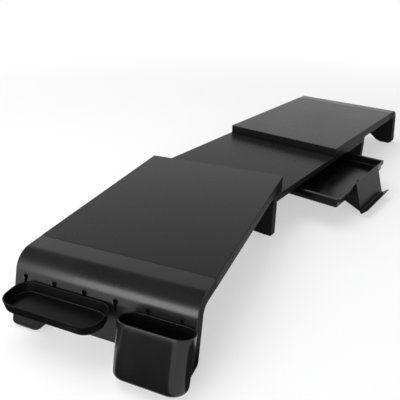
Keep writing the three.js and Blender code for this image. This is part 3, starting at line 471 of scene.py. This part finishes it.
def keyhole_outline(share, grow=0.0):
    """Round hole over a narrow slot, from the top round towards +y: an arc, a straight side and a half circle."""
    radius, slot = KEY_RADIUS + grow, KEY_SLOT + grow
    arc = np.linspace(0.0, math.pi - math.asin(slot / radius), 80)
    end = np.linspace(math.pi / 2, math.pi, 30)
    half = np.concatenate([
        np.stack([radius * np.sin(arc), radius * np.cos(arc)], axis=-1),
        np.stack([slot * np.sin(end), slot * np.cos(end) - KEY_DROP], axis=-1),
    ])
    return along_both_halves(half, share)


def pocket_outline(share):
    """Rounded rectangle behind a keyhole, from the middle of its top round towards +y."""
    quarter = np.linspace(0.0, math.pi / 2, 12)
    side = POCKET_HALF - POCKET_ROUND
    half = np.concatenate([
        [[0.0, POCKET_UP]],
        np.stack([side + POCKET_ROUND * np.sin(quarter), POCKET_UP - POCKET_ROUND * (1 - np.cos(quarter))], axis=-1),
        np.stack([side + POCKET_ROUND * np.cos(quarter), -POCKET_DOWN + POCKET_ROUND * (1 - np.sin(quarter))], axis=-1),
        [[0.0, -POCKET_DOWN]],
    ])
    return along_both_halves(half, share)


def leg_stations(edge, windows):
    """Places along the leg's depth: close together at the rounded ends, at the keyholes and at the arch's flanks."""
    turn = np.linspace(0.0, np.pi / 2, 6)
    near = np.concatenate([edge * (1 - np.cos(turn)), [edge + 1.0, 4.0, 5.5, SIDE_ROUND]])
    flank = np.linspace(FOOT_LENGTH - ARCH_ROUND, FOOT_LENGTH + ARCH_RISE + ARCH_ROUND, 13)
    ends = np.concatenate([near, flank])
    lines = np.concatenate([ends, SHELF_DEPTH - ends, np.arange(12.0, SHELF_DEPTH - 10.0, STATION_STEP)])
    if windows:
        clear = np.min(np.abs(lines[:, None] - KEYHOLES[None, :]), axis=1) >= WINDOW_HALF + WINDOW_CLEAR
        window = np.linspace(-WINDOW_HALF, WINDOW_HALF, WINDOW_COLUMNS + 1)
        lines = np.concatenate([lines[clear], (KEYHOLES[:, None] + window).ravel()])
    return np.unique(np.round(lines, 4))


def end_leg_patches(edge, lip, keyholes):
    """The moulded end leg without its tongue: a section carried along the depth.

    The section's outer chain is a flat, an arc and the splayed shin; its inner chain is the same inside the wall. Both
    are inset at the front and the rear as a quarter circle. The sole between them follows sole_height. Each keyhole
    takes a window out of both chains, and rings of points lead from the window's rim through the mouth, the wall, the
    pocket and out to the inner window's rim.
    """
    y = leg_stations(edge, keyholes)
    end = np.minimum(y, SHELF_DEPTH - y)
    short = np.clip(edge - end, 0.0, edge)
    inset = (edge - np.sqrt(np.clip(edge**2 - short**2, 0.0, None)))[:, None]
    height = sole_height(y)[:, None]
    sole = height + inset
    corner = ARCH_EDGE + (FOOT_ROUND - ARCH_EDGE) * np.clip((ARCH_TOP - height) / ARCH_RISE, 0.0, 1.0)

    flat = np.linspace(0.0, 1.0, FLAT_POINTS)[None, :-1]
    bend = np.linspace(0.0, 1.0, BEND_POINTS)[None, :]
    window = np.linspace(0.0, 1.0, WINDOW_ROWS + 1)[None, :]
    low = np.linspace(0.0, 1.0, SHIN_POINTS)[None, 1:]
    seam = SEAM + GAP

    def pairs(x, z):
        return np.stack(np.broadcast_arrays(x, z), axis=-1)

    def flat_and_bend(start, height, radius, slope, inwards):
        """A chain's flat and the arc after it, which turns from level into the slope."""
        angle = np.pi / 2 + (slope - np.pi / 2) * bend
        return [pairs(seam + (start - seam) * flat, height - inwards),
                pairs(start + (radius - inwards) * np.cos(angle), height - radius + (radius - inwards) * np.sin(angle))]

    # outer chain, from the seam's upper edge down to the sole
    window_up = WINDOW_UP - (WINDOW_UP + WINDOW_DOWN) * window
    last_up = (sole + corner - KEY_Z + inset * math.sin(SPLAY)) / math.cos(SPLAY)
    low_up = -WINDOW_DOWN + (last_up + WINDOW_DOWN) * low
    outer = np.concatenate([*flat_and_bend(OUTER_START, SHELF_TOP, OUTER_RADIUS, SPLAY, inset),
                            on_face(-inset, 0.0, window_up)[..., ::2], on_face(-inset, 0.0, low_up)[..., ::2]], axis=1)

    # inner chain, from the seam's lower edge down to the sole
    out = np.array([POCKET_UP, -POCKET_DOWN])
    exit_z = KEY_Z + out * math.cos(SPLAY) - depth_to_inner_face(out) * math.sin(SPLAY)
    window_top, window_low = exit_z[0] + INNER_WINDOW_UP, exit_z[1] - INNER_WINDOW_DOWN
    shift_x, shift_z = inset * math.cos(LEAN), inset * math.sin(LEAN)

    def inner_at(z):
        return pairs(INNER_BEND_X + (INNER_BEND_Z - z) * math.tan(LEAN) + shift_x, z + shift_z)

    inner = np.concatenate([*flat_and_bend(INNER_START, SHELF_UNDER, INNER_RADIUS, LEAN, -inset),
                            inner_at(window_top + (window_low - window_top) * window),
                            inner_at(window_low + (sole + corner - shift_z - window_low) * low)], axis=1)

    # sole: a rounded corner, a flat and a rounded corner, each corner a parabola between its two tangents
    t = np.linspace(0.0, 1.0, ROUND_POINTS)[None, 1:, None]

    def rounded(start, knee, stop):
        return (1 - t) ** 2 * start + 2 * t * (1 - t) * knee + t**2 * stop

    outer_end, inner_end = outer[:, -1:], inner[:, -1:]
    outer_knee = pairs(outer_end[..., 0] + (outer_end[..., 1] - sole) * math.tan(SPLAY), sole)
    inner_knee = pairs(inner_end[..., 0] + (inner_end[..., 1] - sole) * math.tan(LEAN), sole)
    shift = pairs(corner, 0.0)
    middle = np.linspace(0.0, 1.0, SOLE_POINTS)[None, 1:-1, None]
    under = np.concatenate([outer_end, rounded(outer_end, outer_knee, outer_knee - shift),
                            (outer_knee - shift) + (inner_knee + shift - outer_knee + shift) * middle,
                            rounded(inner_end, inner_knee, inner_knee + shift)[:, ::-1], inner_end], axis=1)

    # seam face, from its upper edge down
    across = np.linspace(0.0, 1.0, under.shape[1])[:, None]
    seam_face = outer[:, :1] + (inner[:, :1] - outer[:, :1]) * across

    def sheet(chain):
        return np.stack(np.broadcast_arrays(chain[..., 0], y[:, None], chain[..., 1]), axis=-1)

    outer, inner, under = sheet(outer), sheet(inner), sheet(under)
    keep = np.ones((len(y) - 1, outer.shape[1] - 1), dtype=bool)
    first_row = flat.shape[1] + bend.shape[1]
    rings = []
    for centre in KEYHOLES if keyholes else ():
        columns = np.flatnonzero(np.abs(y - centre) < WINDOW_HALF + 0.01)
        keep[columns[0]:columns[-1], first_row:first_row + WINDOW_ROWS] = False
        rings.append(keyhole_rings(outer, inner, columns, first_row, centre, lip))
    patches = [patch(outer, keep=keep), patch(inner, keep=keep), patch(under), patch(sheet(seam_face))] + rings

    # end faces: ruled between the two chains, the last row being the sole's own
    for station in (0, -1):
        ruled = outer[station][:, None] * (1 - across) + inner[station][:, None] * across
        ruled[-1] = under[station]
        patches.append(patch(ruled))
    return patches


def window_rim(chain, columns, first_row):
    """The rim of a window in a chain of points, from the middle of its top round towards +y."""
    rim = rim_of(chain[columns[0]:columns[-1] + 1, first_row:first_row + WINDOW_ROWS + 1])
    return np.roll(rim, -(len(columns) // 2), axis=0)


def keyhole_rings(outer, inner, columns, first_row, centre, lip):
    """The rings that lead from the outer window's rim through the keyhole and the pocket to the inner window's."""
    outer_rim, inner_rim = window_rim(outer, columns, first_row), window_rim(inner, columns, first_row)
    share = share_of_length(outer_rim)
    pocket = pocket_outline(share)

    def at_depth(deep, outline):
        return on_face(-deep, centre + outline[:, 0], outline[:, 1])

    mouth = at_depth(0.0, keyhole_outline(share, lip))
    loops = [outer_rim, (outer_rim + mouth) / 2, mouth]
    loops += [at_depth(lip * (1 - math.cos(turn)), keyhole_outline(share, lip * (1 - math.sin(turn))))
              for turn in np.linspace(0.0, np.pi / 2, 4)[1:]]
    loops += [at_depth(KEY_WALL, keyhole_outline(share)), at_depth(KEY_WALL, pocket),
              at_depth(depth_to_inner_face(pocket[:, 1]), pocket), inner_rim]
    return patch(np.stack(loops), ring=True)


def tongue_patches():
    """The flat tongue that is screwed into the board's rebate, with a counterbore for each screw."""
    x, half = SEAM - TONGUE_LENGTH / 2, TONGUE_BORE
    bores = [(x - half, x + half, y - half, y + half, TONGUE_BORE_DEPTH) for y in TONGUE_SCREWS]
    low = (SEAM - TONGUE_LENGTH, TONGUE_SIDE, SHELF_UNDER + TONGUE_LIFT)
    high = (SEAM + TONGUE_ROOT, SHELF_DEPTH - TONGUE_SIDE, SHELF_UNDER + TONGUE_THICK)
    return board_patches(low, high, TONGUE_EDGE, TONGUE_CORNER_ROUND, bores)


# What hangs on the left end leg

HANG = 2.0
STUD_NECK, STUD_HEAD, STUD_HEAD_THICK, STUD_DOME, STUD_SIDES = KEY_SLOT - GAP, 3.2, 2.0, 1.2, 28
STUD_PLAY, STUD_FLARE, STUD_FLARE_DEPTH = 0.4, 1.4, 0.6
INNER_RADIUS_LEAST = 2.0


def stud_patch(y, wall):
    """A mushroom stud at the slot's lower end, moulded in one with a wall.

    A profile of (radius, distance out of the leg's outer face) pairs is turned about the line square to that face.
    """
    neck, root = -KEY_WALL - STUD_PLAY, STUD_NECK + STUD_FLARE
    tip, end = neck - STUD_HEAD_THICK, HANG + wall / 2
    turn = np.linspace(0.0, np.pi / 2, 5)
    dome = np.stack([(STUD_HEAD - STUD_DOME) + STUD_DOME * np.sin(turn), tip + STUD_DOME * (1 - np.cos(turn))], axis=-1)
    profile = np.concatenate([
        [[0.0, tip]], dome,
        [[STUD_HEAD, neck], [STUD_NECK, neck], [STUD_NECK, -STUD_FLARE_DEPTH], [root, HANG], [root, end], [0.0, end]],
    ])
    radius, out = profile[:, :1], np.repeat(profile[:, 1:], STUD_SIDES, axis=1)
    angle = np.linspace(0.0, 2 * np.pi, STUD_SIDES, endpoint=False)
    return patch(on_face(out, y + radius * np.cos(angle), -KEY_DROP + radius * np.sin(angle)), ring=True)


def tray_patches(rim_edge):
    """The side tray: rounded-rectangle rings along a hollow's profile, whose back follows the splayed leg."""
    length, depth, rim, height, radius = 150.5, 55.0, 73.8, 16.0, 22.5
    wall, floor, draft, sole, inside = 2.0, 2.2, 2.0, 3.5, 1.5
    middle = (KEYHOLES[3] + KEYHOLES[4]) / 2

    def back(z):
        return OUTER_BEND_X + (OUTER_BEND_Z - z) * math.tan(SPLAY) + HANG / math.cos(SPLAY)

    front = back(rim) + depth

    def level(inset, z):
        narrow = inset + draft * (rim - z) / height
        low = (back(z) + inset, middle - length / 2 + narrow)
        high = (front - narrow, middle + length / 2 - narrow)
        ring = rounded_box_ring(low, high, max(radius - inset, INNER_RADIUS_LEAST), steps=14, straight=8)
        return np.column_stack([ring, np.full(len(ring), z)])

    profile = hollow_profile(rim - height, rim, wall, floor, (sole, 6), (inside, 5), rim_edge)
    return lofted(level, profile) + [stud_patch(KEYHOLES[index], wall) for index in (3, 4)]


def cup_patches(rim_edge):
    """The pen cup: rounded-rectangle rings along a hollow's profile, drawn against the leg and tapering downwards."""
    length, depth, tall, rim, radius = 102.5, 44.0, 75.8, 72.8, 21.0
    wall, floor, taper, sole = 2.2, 2.4, 1.2, 9.0
    middle = (KEYHOLES[0] + KEYHOLES[1]) / 2
    top = (rim - KEY_Z) / math.cos(SPLAY)

    def level(inset, up):
        narrow = inset + taper * (top - up) / tall
        low = (HANG + inset, middle - length / 2 + narrow)
        high = (HANG + depth - narrow, middle + length / 2 - narrow)
        ring = rounded_box_ring(low, high, max(radius - inset, INNER_RADIUS_LEAST), steps=16, straight=8)
        return on_face(ring[:, 0], ring[:, 1], up)

    round_sole = (sole, 8)
    profile = hollow_profile(top - tall, top, wall, floor, round_sole, round_sole, rim_edge, (0.3, 0.5, 0.7, 0.9))
    return lofted(level, profile) + [stud_patch(KEYHOLES[index], wall) for index in (0, 1)]


# Finishes. A pattern's scale is in features per metre, its relief in metres

MIX_FIRST, MIX_SECOND, MIX_RESULT = 6, 7, 2
BLACK_STEEL = (0.035, 0.035, 0.037)
# Moulded plastics: the user's colour and its shade, then roughness, specular level, grain and relief
MOULDED = {
    "leg_moulding": ("moulding", 1.0, 0.28, 0.43, 1300.0, 0.000012),
    "leg_side": ("moulding", 1.0, 0.5, 0.03, 1300.0, 0.00002),
    "cup_plastic": ("accessory", 1.0, 0.2, 0.43, 1500.0, 0.00001),
    "accessory_plastic": ("accessory", 0.65, 0.3, 0.12, 1500.0, 0.00001),
    "tray_plastic": ("accessory", 0.65, 0.28, 0.24, 1500.0, 0.00001),
    "tray_wall": ("accessory", 0.65, 0.4, 0.03, 1500.0, 0.00002),
    "drawer_plastic": ("accessory", 0.5, 0.22, 0.18, 1500.0, 0.00001),
}


def added(tree, kind, inputs=None, **settings):
    """A new node. settings are its own choices, inputs its sockets' numbers or the sockets that feed them."""
    node = tree.nodes.new("ShaderNode" + kind)
    for name, choice in settings.items():
        setattr(node, name, choice)
    for socket, value in (inputs or {}).items():
        if isinstance(value, bpy.types.NodeSocket):
            tree.links.new(value, node.inputs[socket])
        else:
            node.inputs[socket].default_value = value
    return node


class Finish:
    """A material built from nodes on Object coordinates, with helpers for its colour, roughness and bump."""

    def __init__(self, name, roughness, specular, metallic=0.0, turn=0.0, stretch=(1.0, 1.0, 1.0)):
        self.material = bpy.data.materials.new(name)
        self.material.use_nodes = True
        self.tree = self.material.node_tree
        self.shader = self.tree.nodes["Principled BSDF"]
        self.shader.inputs["Metallic"].default_value = metallic
        self.shader.inputs["Specular IOR Level"].default_value = specular
        self.shader.inputs["Roughness"].default_value = roughness
        point = added(self.tree, "TexCoord").outputs["Object"]
        inputs = {"Vector": point, "Rotation": (0.0, 0.0, turn), "Scale": stretch}
        self.where = added(self.tree, "Mapping", inputs).outputs["Vector"]

    def noise(self, scale, detail=3.0, rough=0.55):
        """Smooth random variation, about 1 / scale metres across."""
        inputs = {"Vector": self.where, "Scale": scale, "Detail": detail, "Roughness": rough}
        return added(self.tree, "TexNoise", inputs).outputs["Fac"]

    def cells(self, scale):
        """Distance to the nearest of random points, about 1 / scale metres apart."""
        return added(self.tree, "TexVoronoi", {"Vector": self.where, "Scale": scale}).outputs["Distance"]

    def ranged(self, value, low, high, start=0.0, end=1.0):
        """Takes start..end of a value to low..high, held at both ends."""
        inputs = {"Value": value, "From Min": start, "From Max": end, "To Min": low, "To Max": high}
        return added(self.tree, "MapRange", inputs).outputs["Result"]

    def mixed(self, value, dark, light):
        """Colour between dark and light by a value."""
        dark, light = (part if isinstance(part, bpy.types.NodeSocket) else (*part, 1.0) for part in (dark, light))
        inputs = {"Factor": value, MIX_FIRST: dark, MIX_SECOND: light}
        return added(self.tree, "Mix", inputs, data_type="RGBA").outputs[MIX_RESULT]

    def clouded(self, base, value, dark, light, start=0.35, end=0.65):
        """A base colour shaded from dark to light as a value goes from start to end."""
        return self.mixed(self.ranged(value, 0.0, 1.0, start, end), shaded(base, dark), shaded(base, light))

    def summed(self, first, second, share):
        """first plus share of second."""
        return added(self.tree, "Math", {0: second, 1: share, 2: first}, operation="MULTIPLY_ADD").outputs[0]

    def colour(self, socket):
        self.tree.links.new(socket, self.shader.inputs["Base Color"])

    def roughness(self, socket):
        self.tree.links.new(socket, self.shader.inputs["Roughness"])

    def bump(self, height, relief):
        """Height in 0..1 stands relief metres proud."""
        node = added(self.tree, "Bump", {"Height": height, "Distance": relief, "Strength": 1.0})
        self.tree.links.new(node.outputs["Normal"], self.shader.inputs["Normal"])


def shaded(colour, factor):
    """A colour made lighter or darker by a factor."""
    return tuple(min(1.0, part * factor) for part in colour)


def laminate(name, turn, specular):
    """Satin melamine on the boards: a fine pebble, drawn out a little along the board, with faint clouding."""
    base = tuple(sizes().laminate)
    finish = Finish(name, 0.28, specular, turn=turn, stretch=(0.7, 1.0, 1.0))
    cloud = finish.noise(9.0, 4.0)
    pebble = finish.summed(finish.cells(700.0), finish.noise(1500.0, 2.0), 0.6)
    speck = finish.ranged(finish.noise(420.0, 2.0), 0.0, 1.0, 0.40, 0.62)
    finish.colour(finish.mixed(speck, finish.clouded(base, cloud, 0.9, 1.12), shaded(base, 1.1)))
    finish.roughness(finish.ranged(finish.summed(cloud, speck, 0.2), 0.25, 0.31, 0.35, 0.85))
    finish.bump(pebble, 0.000004)
    return finish.material


def edge_band_painted_shade(turn):
    """Edging glued round the boards: duller than the faces, with a fine grain along it. Its colour is painted shade:
    the laminate's colour darkened to 0.35 to 0.5 of itself.
    """
    base = tuple(sizes().laminate)
    finish = Finish("edge_band_painted_shade", 0.45, 0.06, turn=turn, stretch=(0.25, 0.25, 1.0))
    grain = finish.noise(900.0, 3.0)
    # Painted shade: the upright faces take the laminate's colour darkened to 0.35 to 0.5 of itself
    finish.colour(finish.mixed(grain, shaded(base, 0.35), shaded(base, 0.5)))
    finish.roughness(finish.ranged(grain, 0.4, 0.5))
    finish.bump(grain, 0.00002)
    return finish.material


def spark_texture(name, colour, shade, roughness, specular, grain, relief):
    """Moulded plastic with the fine spark-eroded texture of its mould and faint flow marks."""
    finish = Finish(name, roughness, specular)
    flow = finish.noise(16.0, 3.0)
    fine = finish.noise(grain, 3.0, 0.6)
    pits = finish.ranged(finish.cells(grain * 0.6), 0.0, 1.0, 0.05, 0.5)
    finish.colour(finish.clouded(shaded(getattr(sizes(), colour), shade), flow, 0.92, 1.1))
    finish.roughness(finish.ranged(finish.summed(flow, fine, 0.5), roughness - 0.04, roughness + 0.05, 0.5, 1.0))
    finish.bump(finish.summed(fine, pits, 0.5), relief)
    return finish.material


def rubber_finish():
    """Soft rubber: dull, with a coarse grain and a dusting of grey."""
    base = tuple(sizes().rubber)
    finish = Finish("pad_rubber", 0.8, 0.3)
    grain = finish.noise(800.0, 4.0)
    finish.colour(finish.clouded(base, finish.noise(90.0, 4.0), 0.9, 1.7, 0.5, 0.75))
    finish.roughness(finish.ranged(grain, 0.72, 0.9))
    finish.bump(grain, 0.00008)
    return finish.material


def plated_steel(name, base, metallic, roughness):
    """Plated steel: spangles of slightly different brightness and fine drawn lines."""
    finish = Finish(name, roughness, 0.5, metallic=metallic, stretch=(0.08, 1.0, 1.0))
    lines = finish.noise(2600.0, 2.0)
    spangle = finish.noise(260.0, 3.0)
    finish.colour(finish.clouded(base, spangle, 0.82, 1.08))
    finish.roughness(finish.ranged(finish.summed(spangle, lines, 0.6), roughness - 0.08, roughness + 0.1, 0.5, 1.1))
    finish.bump(lines, 0.00001)
    return finish.material


def white_floor():
    """The studio's floor: pale, with the riser's soft shadow, and running out to plain white away from it."""
    finish = Finish("floor_white", 0.7, 0.1)
    tree = finish.tree
    finish.colour(finish.mixed(finish.noise(3.0, 2.0), (0.91, 0.91, 0.915), (0.93, 0.93, 0.935)))
    length = added(tree, "VectorMath", {0: finish.where}, operation="LENGTH").outputs["Value"]
    away = finish.ranged(length, 0.5, 1.0, 0.85, 1.9)
    ray = added(tree, "LightPath").outputs
    share = ray["Is Camera Ray"]
    for operation, other in (("MAXIMUM", ray["Is Glossy Ray"]), ("MAXIMUM", ray["Is Transmission Ray"]),
                             ("MULTIPLY", away)):
        share = added(tree, "Math", {0: share, 1: other}, operation=operation).outputs[0]
    glow = added(tree, "Emission", {"Strength": 1.0}).outputs["Emission"]
    mix = added(tree, "MixShader", {"Fac": share, 1: finish.shader.outputs["BSDF"], 2: glow})
    tree.links.new(mix.outputs["Shader"], tree.nodes["Material Output"].inputs["Surface"])
    return finish.material


MADE = {}


def finish_for(name, turn=0.0):
    """The finish of a name, made once. turn lays its pattern along a turned board."""
    if (name, turn) not in MADE:
        makers = {
            "bench_laminate": lambda: laminate(name, turn, specular=0.08),
            "shelf_laminate": lambda: laminate(name, turn, specular=0.12),
            "edge_band_painted_shade": lambda: edge_band_painted_shade(turn),
            "pad_rubber": rubber_finish,
            "zinc_plated_steel": lambda: plated_steel(name, tuple(sizes().zinc), metallic=1.0, roughness=0.32),
            "black_plated_steel": lambda: plated_steel(name, BLACK_STEEL, metallic=0.7, roughness=0.42),
        }
        MADE[name, turn] = spark_texture(name, *MOULDED[name]) if name in MOULDED else makers[name]()
    return MADE[name, turn]


# Pieces

MOULDED_BEVEL_M, BOARD_BEVEL_M, FITTING_BEVEL_M = 0.0004, 0.0005, 0.0003


class RISER_OT_boards(bpy.types.Operator):
    """Make the bench board and both shelf boards"""

    bl_idname = "riser.boards"
    bl_label = "Boards"

    def execute(self, context):
        edge = sizes().board_edge / MM
        size = (BENCH_HIGH - BENCH_LOW) / MM
        low, high = (0.0, 0.0, BENCH_LOW[2] / MM), (size[0], size[1], BENCH_HIGH[2] / MM)
        # The bench board's upright faces take the edge band, whose darker colour is painted shade
        make_piece("bench_board", board_patches(low, high, edge, BENCH_CORNER_ROUND), on_bench,
                   finish_for("bench_laminate"), finish_for("edge_band_painted_shade"))
        for side, shelf in SHELVES.items():
            turn = -shelf["turn"]
            # The shelf boards' upright faces take the edge band's painted shade too
            make_piece(f"{side}_shelf_board", shelf_board(side, edge), on_shelf(side),
                       finish_for("shelf_laminate", turn), finish_for("edge_band_painted_shade", turn))
        return {"FINISHED"}


class RISER_OT_end_legs(bpy.types.Operator):
    """Make the moulded end legs; the left one has the keyholes"""

    bl_idname = "riser.end_legs"
    bl_label = "End legs"

    def execute(self, context):
        own = sizes()
        for side, shelf in SHELVES.items():
            patches = end_leg_patches(own.leg_edge / MM, own.keyhole_lip / MM, side == "left") + tongue_patches()
            out, turn = shelf["mirror"], shelf["turn"]
            outwards = np.array([out * math.cos(turn), out * math.sin(turn), 1.0])
            make_piece(f"{side}_end_leg", patches, on_shelf(side), finish_for("leg_moulding"),
                       finish_for("leg_side"), show_way=outwards / math.sqrt(2))
        return {"FINISHED"}


class RISER_OT_hung_parts(bpy.types.Operator):
    """Make the side tray and the pen cup"""

    bl_idname = "riser.hung_parts"
    bl_label = "Side tray and pen cup"

    def execute(self, context):
        edge, place = sizes().rim_edge / MM, on_shelf("left")
        make_piece("side_tray", tray_patches(edge), place, finish_for("tray_plastic"),
                   finish_for("tray_wall"))
        make_piece("pen_cup", cup_patches(edge), place, finish_for("cup_plastic"))
        return {"FINISHED"}


class RISER_OT_drawer(bpy.types.Operator):
    """Make the drawer and the phone holder under its front"""

    bl_idname = "riser.drawer"
    bl_label = "Drawer and phone holder"

    def execute(self, context):
        welded_copy("drawer_tray", finish_for("drawer_plastic"), MOULDED_BEVEL_M)
        welded_copy("phone_holder", finish_for("accessory_plastic"), MOULDED_BEVEL_M)
        return {"FINISHED"}


class RISER_OT_bench_legs(bpy.types.Operator):
    """Make the bench's legs and the runners that carry the drawer"""

    bl_idname = "riser.bench_legs"
    bl_label = "Bench legs and runners"

    def execute(self, context):
        for side in SHELVES:
            # The bench legs take the edge band: the laminate's colour darkened as painted shade
            welded_copy(f"bench_{side}_leg", finish_for("edge_band_painted_shade"), BOARD_BEVEL_M)
            welded_copy(f"{side}_runner", finish_for("accessory_plastic"), FITTING_BEVEL_M)
        return {"FINISHED"}


class RISER_OT_fittings(bpy.types.Operator):
    """Make the tracks, clamps, pads and screws"""

    bl_idname = "riser.fittings"
    bl_label = "Tracks, clamps, pads and screws"

    def execute(self, context):
        finishes = {"accessory": "accessory_plastic", "rubber": "pad_rubber", "black_steel": "black_plated_steel",
                    "zinc_steel": "zinc_plated_steel"}
        for entry in frame["record"]["subparts"]:
            node, slot = entry["node"], entry["material_slot"]
            if node + "_dressed" not in bpy.data.objects:
                welded_copy(node, finish_for(finishes[slot]), FITTING_BEVEL_M)
        return {"FINISHED"}


# Stage

FLOOR_HALF = 30.0
WHITE = (1.0, 1.0, 1.0, 1.0)
# The wall dims into the ceiling between these elevations, in degrees
WALL_ENDS = (33.0, 44.0)
LAMPS = {
    "key_lamp": dict(size=(2.2, 2.2), place=(-0.7, 0.7, 2.5), target=(0.0, 0.0, 0.0), mirrored=False),
    "side_lamp": dict(size=(2.0, 1.2), place=(-2.6, -0.22, 0.68), target=(-0.6, 0.0, 0.1), mirrored=True),
}
# Corners of the cards beside the left end: how far out from the end leg's foot, and how far back from its front edge
CARDS = {
    "cup_card": [(0.045, -0.01), (0.045, 0.17), (1.8, 1.20), (1.8, 0.35)],
    "tray_card": [(0.005, 0.17), (0.005, 0.36), (1.8, 1.40), (1.8, 1.20)],
    "corner_card": [(-0.065, -0.13), (-0.065, 0.0), (0.019, 0.0), (0.019, -0.13)],
}
CARD_START_X, CARD_Z = 450.0, 0.5
# The camera's azimuth from y towards x, its drop below the horizon and its roll are in radians, its lens in millimetres
CAMERA_PLACE = (-0.827622, -0.457938, 0.467976)
CAMERA_TURN = (0.911749, 0.458272, 0.006108)
CAMERA_LENS, CAMERA_SENSOR = 42.7028, 36.0


def stage_face(name, corners, material):
    """A flat face with four corners, made for the stage."""
    mesh = bpy.data.meshes.new(name)
    mesh.from_pydata(corners, [], [(0, 1, 2, 3)])
    mesh.materials.append(material)
    face = put(name, mesh)
    return face


def surroundings(wall, ceiling):
    """White where the camera looks; a bright wall that dims into a ceiling where light and reflections come from."""
    world = bpy.data.worlds.new("surroundings")
    world.use_nodes = True
    tree = world.node_tree
    low, high = (math.sin(math.radians(angle)) for angle in WALL_ENDS)
    split = added(tree, "SeparateXYZ", {"Vector": added(tree, "TexCoord").outputs["Generated"]})
    fade = {"Value": split.outputs["Z"], "From Min": low, "From Max": high, "To Min": wall, "To Max": ceiling}
    rise = added(tree, "MapRange", fade, interpolation_type="SMOOTHSTEP")
    around = tree.nodes["Background"]
    around.inputs["Color"].default_value = WHITE
    tree.links.new(rise.outputs["Result"], around.inputs["Strength"])
    white = added(tree, "Background", {"Color": WHITE, "Strength": 1.0})
    seen = added(tree, "LightPath").outputs["Is Camera Ray"]
    mix = added(tree, "MixShader", {"Fac": seen, 1: around.outputs["Background"], 2: white.outputs["Background"]})
    tree.links.new(mix.outputs["Shader"], tree.nodes["World Output"].inputs["Surface"])
    return world


def lamp(name, power, size, place, target, mirrored):
    """A rectangular lamp that looks from a place to a target. Only a mirrored one shows in glossy surfaces."""
    light = bpy.data.lights.new(name, "AREA")
    light.shape = "RECTANGLE"
    light.size, light.size_y = size
    light.energy = power
    aim = Vector(target) - Vector(place)
    shown = put(name, light)
    shown.matrix_world = Matrix.Translation(place) @ aim.to_track_quat("-Z", "Y").to_matrix().to_4x4()
    shown.visible_glossy = mirrored


def photo_camera():
    """The camera: level axes are set by its azimuth, tipped by its drop and turned about its view by its roll."""
    azimuth, drop, roll = CAMERA_TURN
    forward = Vector((math.sin(azimuth) * math.cos(drop), math.cos(azimuth) * math.cos(drop), -math.sin(drop)))
    across = Vector((math.cos(azimuth), -math.sin(azimuth), 0.0))
    upward = across.cross(forward)
    right = across * math.cos(roll) + upward * math.sin(roll)
    up = upward * math.cos(roll) - across * math.sin(roll)
    eye = bpy.data.cameras.new("photo_camera")
    eye.sensor_width = CAMERA_SENSOR
    eye.lens = CAMERA_LENS
    eye.clip_start, eye.clip_end = 0.01, 200.0
    camera = put("photo_camera", eye)
    camera.matrix_world = Matrix.Translation(CAMERA_PLACE) @ Matrix((right, up, -forward)).transposed().to_4x4()
    return camera


class RISER_OT_stage(bpy.types.Operator):
    """Set the pale floor, the lamps, the surroundings and the camera"""

    bl_idname = "riser.stage"
    bl_label = "Stage"

    def execute(self, context):
        own = sizes()
        scene = context.scene
        scene.view_settings.view_transform = "Standard"
        scene.world = surroundings(own.wall, own.ceiling)
        scene.camera = photo_camera()
        lamp("key_lamp", own.key_light, **LAMPS["key_lamp"])
        lamp("side_lamp", own.side_light, **LAMPS["side_lamp"])

        half = FLOOR_HALF
        corners = [(-half, -half, 0.0), (half, -half, 0.0), (half, half, 0.0), (-half, half, 0.0)]
        stage_face("floor", corners, white_floor())

        # Dark cards beside the left end only keep the floor's white out of its mirror image
        grey = Finish("card_grey", 0.9, 0.0)
        grey.colour(grey.mixed(grey.noise(5.0), (0.05, 0.05, 0.05), (0.07, 0.07, 0.07)))
        for name, corners in CARDS.items():
            out, along = np.array(corners).T / MM
            points = np.stack([CARD_START_X + out, along, np.full(4, CARD_Z)], axis=-1)
            card = stage_face(name, on_shelf("left")(points), grey.material)
            card.visible_camera = card.visible_diffuse = card.visible_shadow = False
        return {"FINISHED"}


OPERATORS = (RISER_OT_boards, RISER_OT_end_legs, RISER_OT_hung_parts, RISER_OT_drawer, RISER_OT_bench_legs,
             RISER_OT_fittings, RISER_OT_stage)


class RISER_PT_panel(bpy.types.Panel):
    """The riser's sizes and the steps that make it"""

    bl_idname = "RISER_PT_panel"
    bl_label = "Dual monitor riser"
    bl_space_type = "VIEW_3D"
    bl_region_type = "UI"
    bl_category = "Riser"

    def draw(self, context):
        for name in RiserSizes.__annotations__:
            self.layout.prop(context.scene.riser_sizes, name)
        for operator in OPERATORS:
            self.layout.operator(operator.bl_idname)


CLASSES = (RiserSizes, *OPERATORS, RISER_PT_panel)


def register():
    for entry in CLASSES:
        bpy.utils.register_class(entry)
    bpy.types.Scene.riser_sizes = bpy.props.PointerProperty(type=RiserSizes)


def unregister():
    del bpy.types.Scene.riser_sizes
    for entry in reversed(CLASSES):
        bpy.utils.unregister_class(entry)


def main():
    register()
    for operator in OPERATORS:
        group, step = operator.bl_idname.split(".")
        getattr(getattr(bpy.ops, group), step)()


if __name__ == "__main__":
    main()
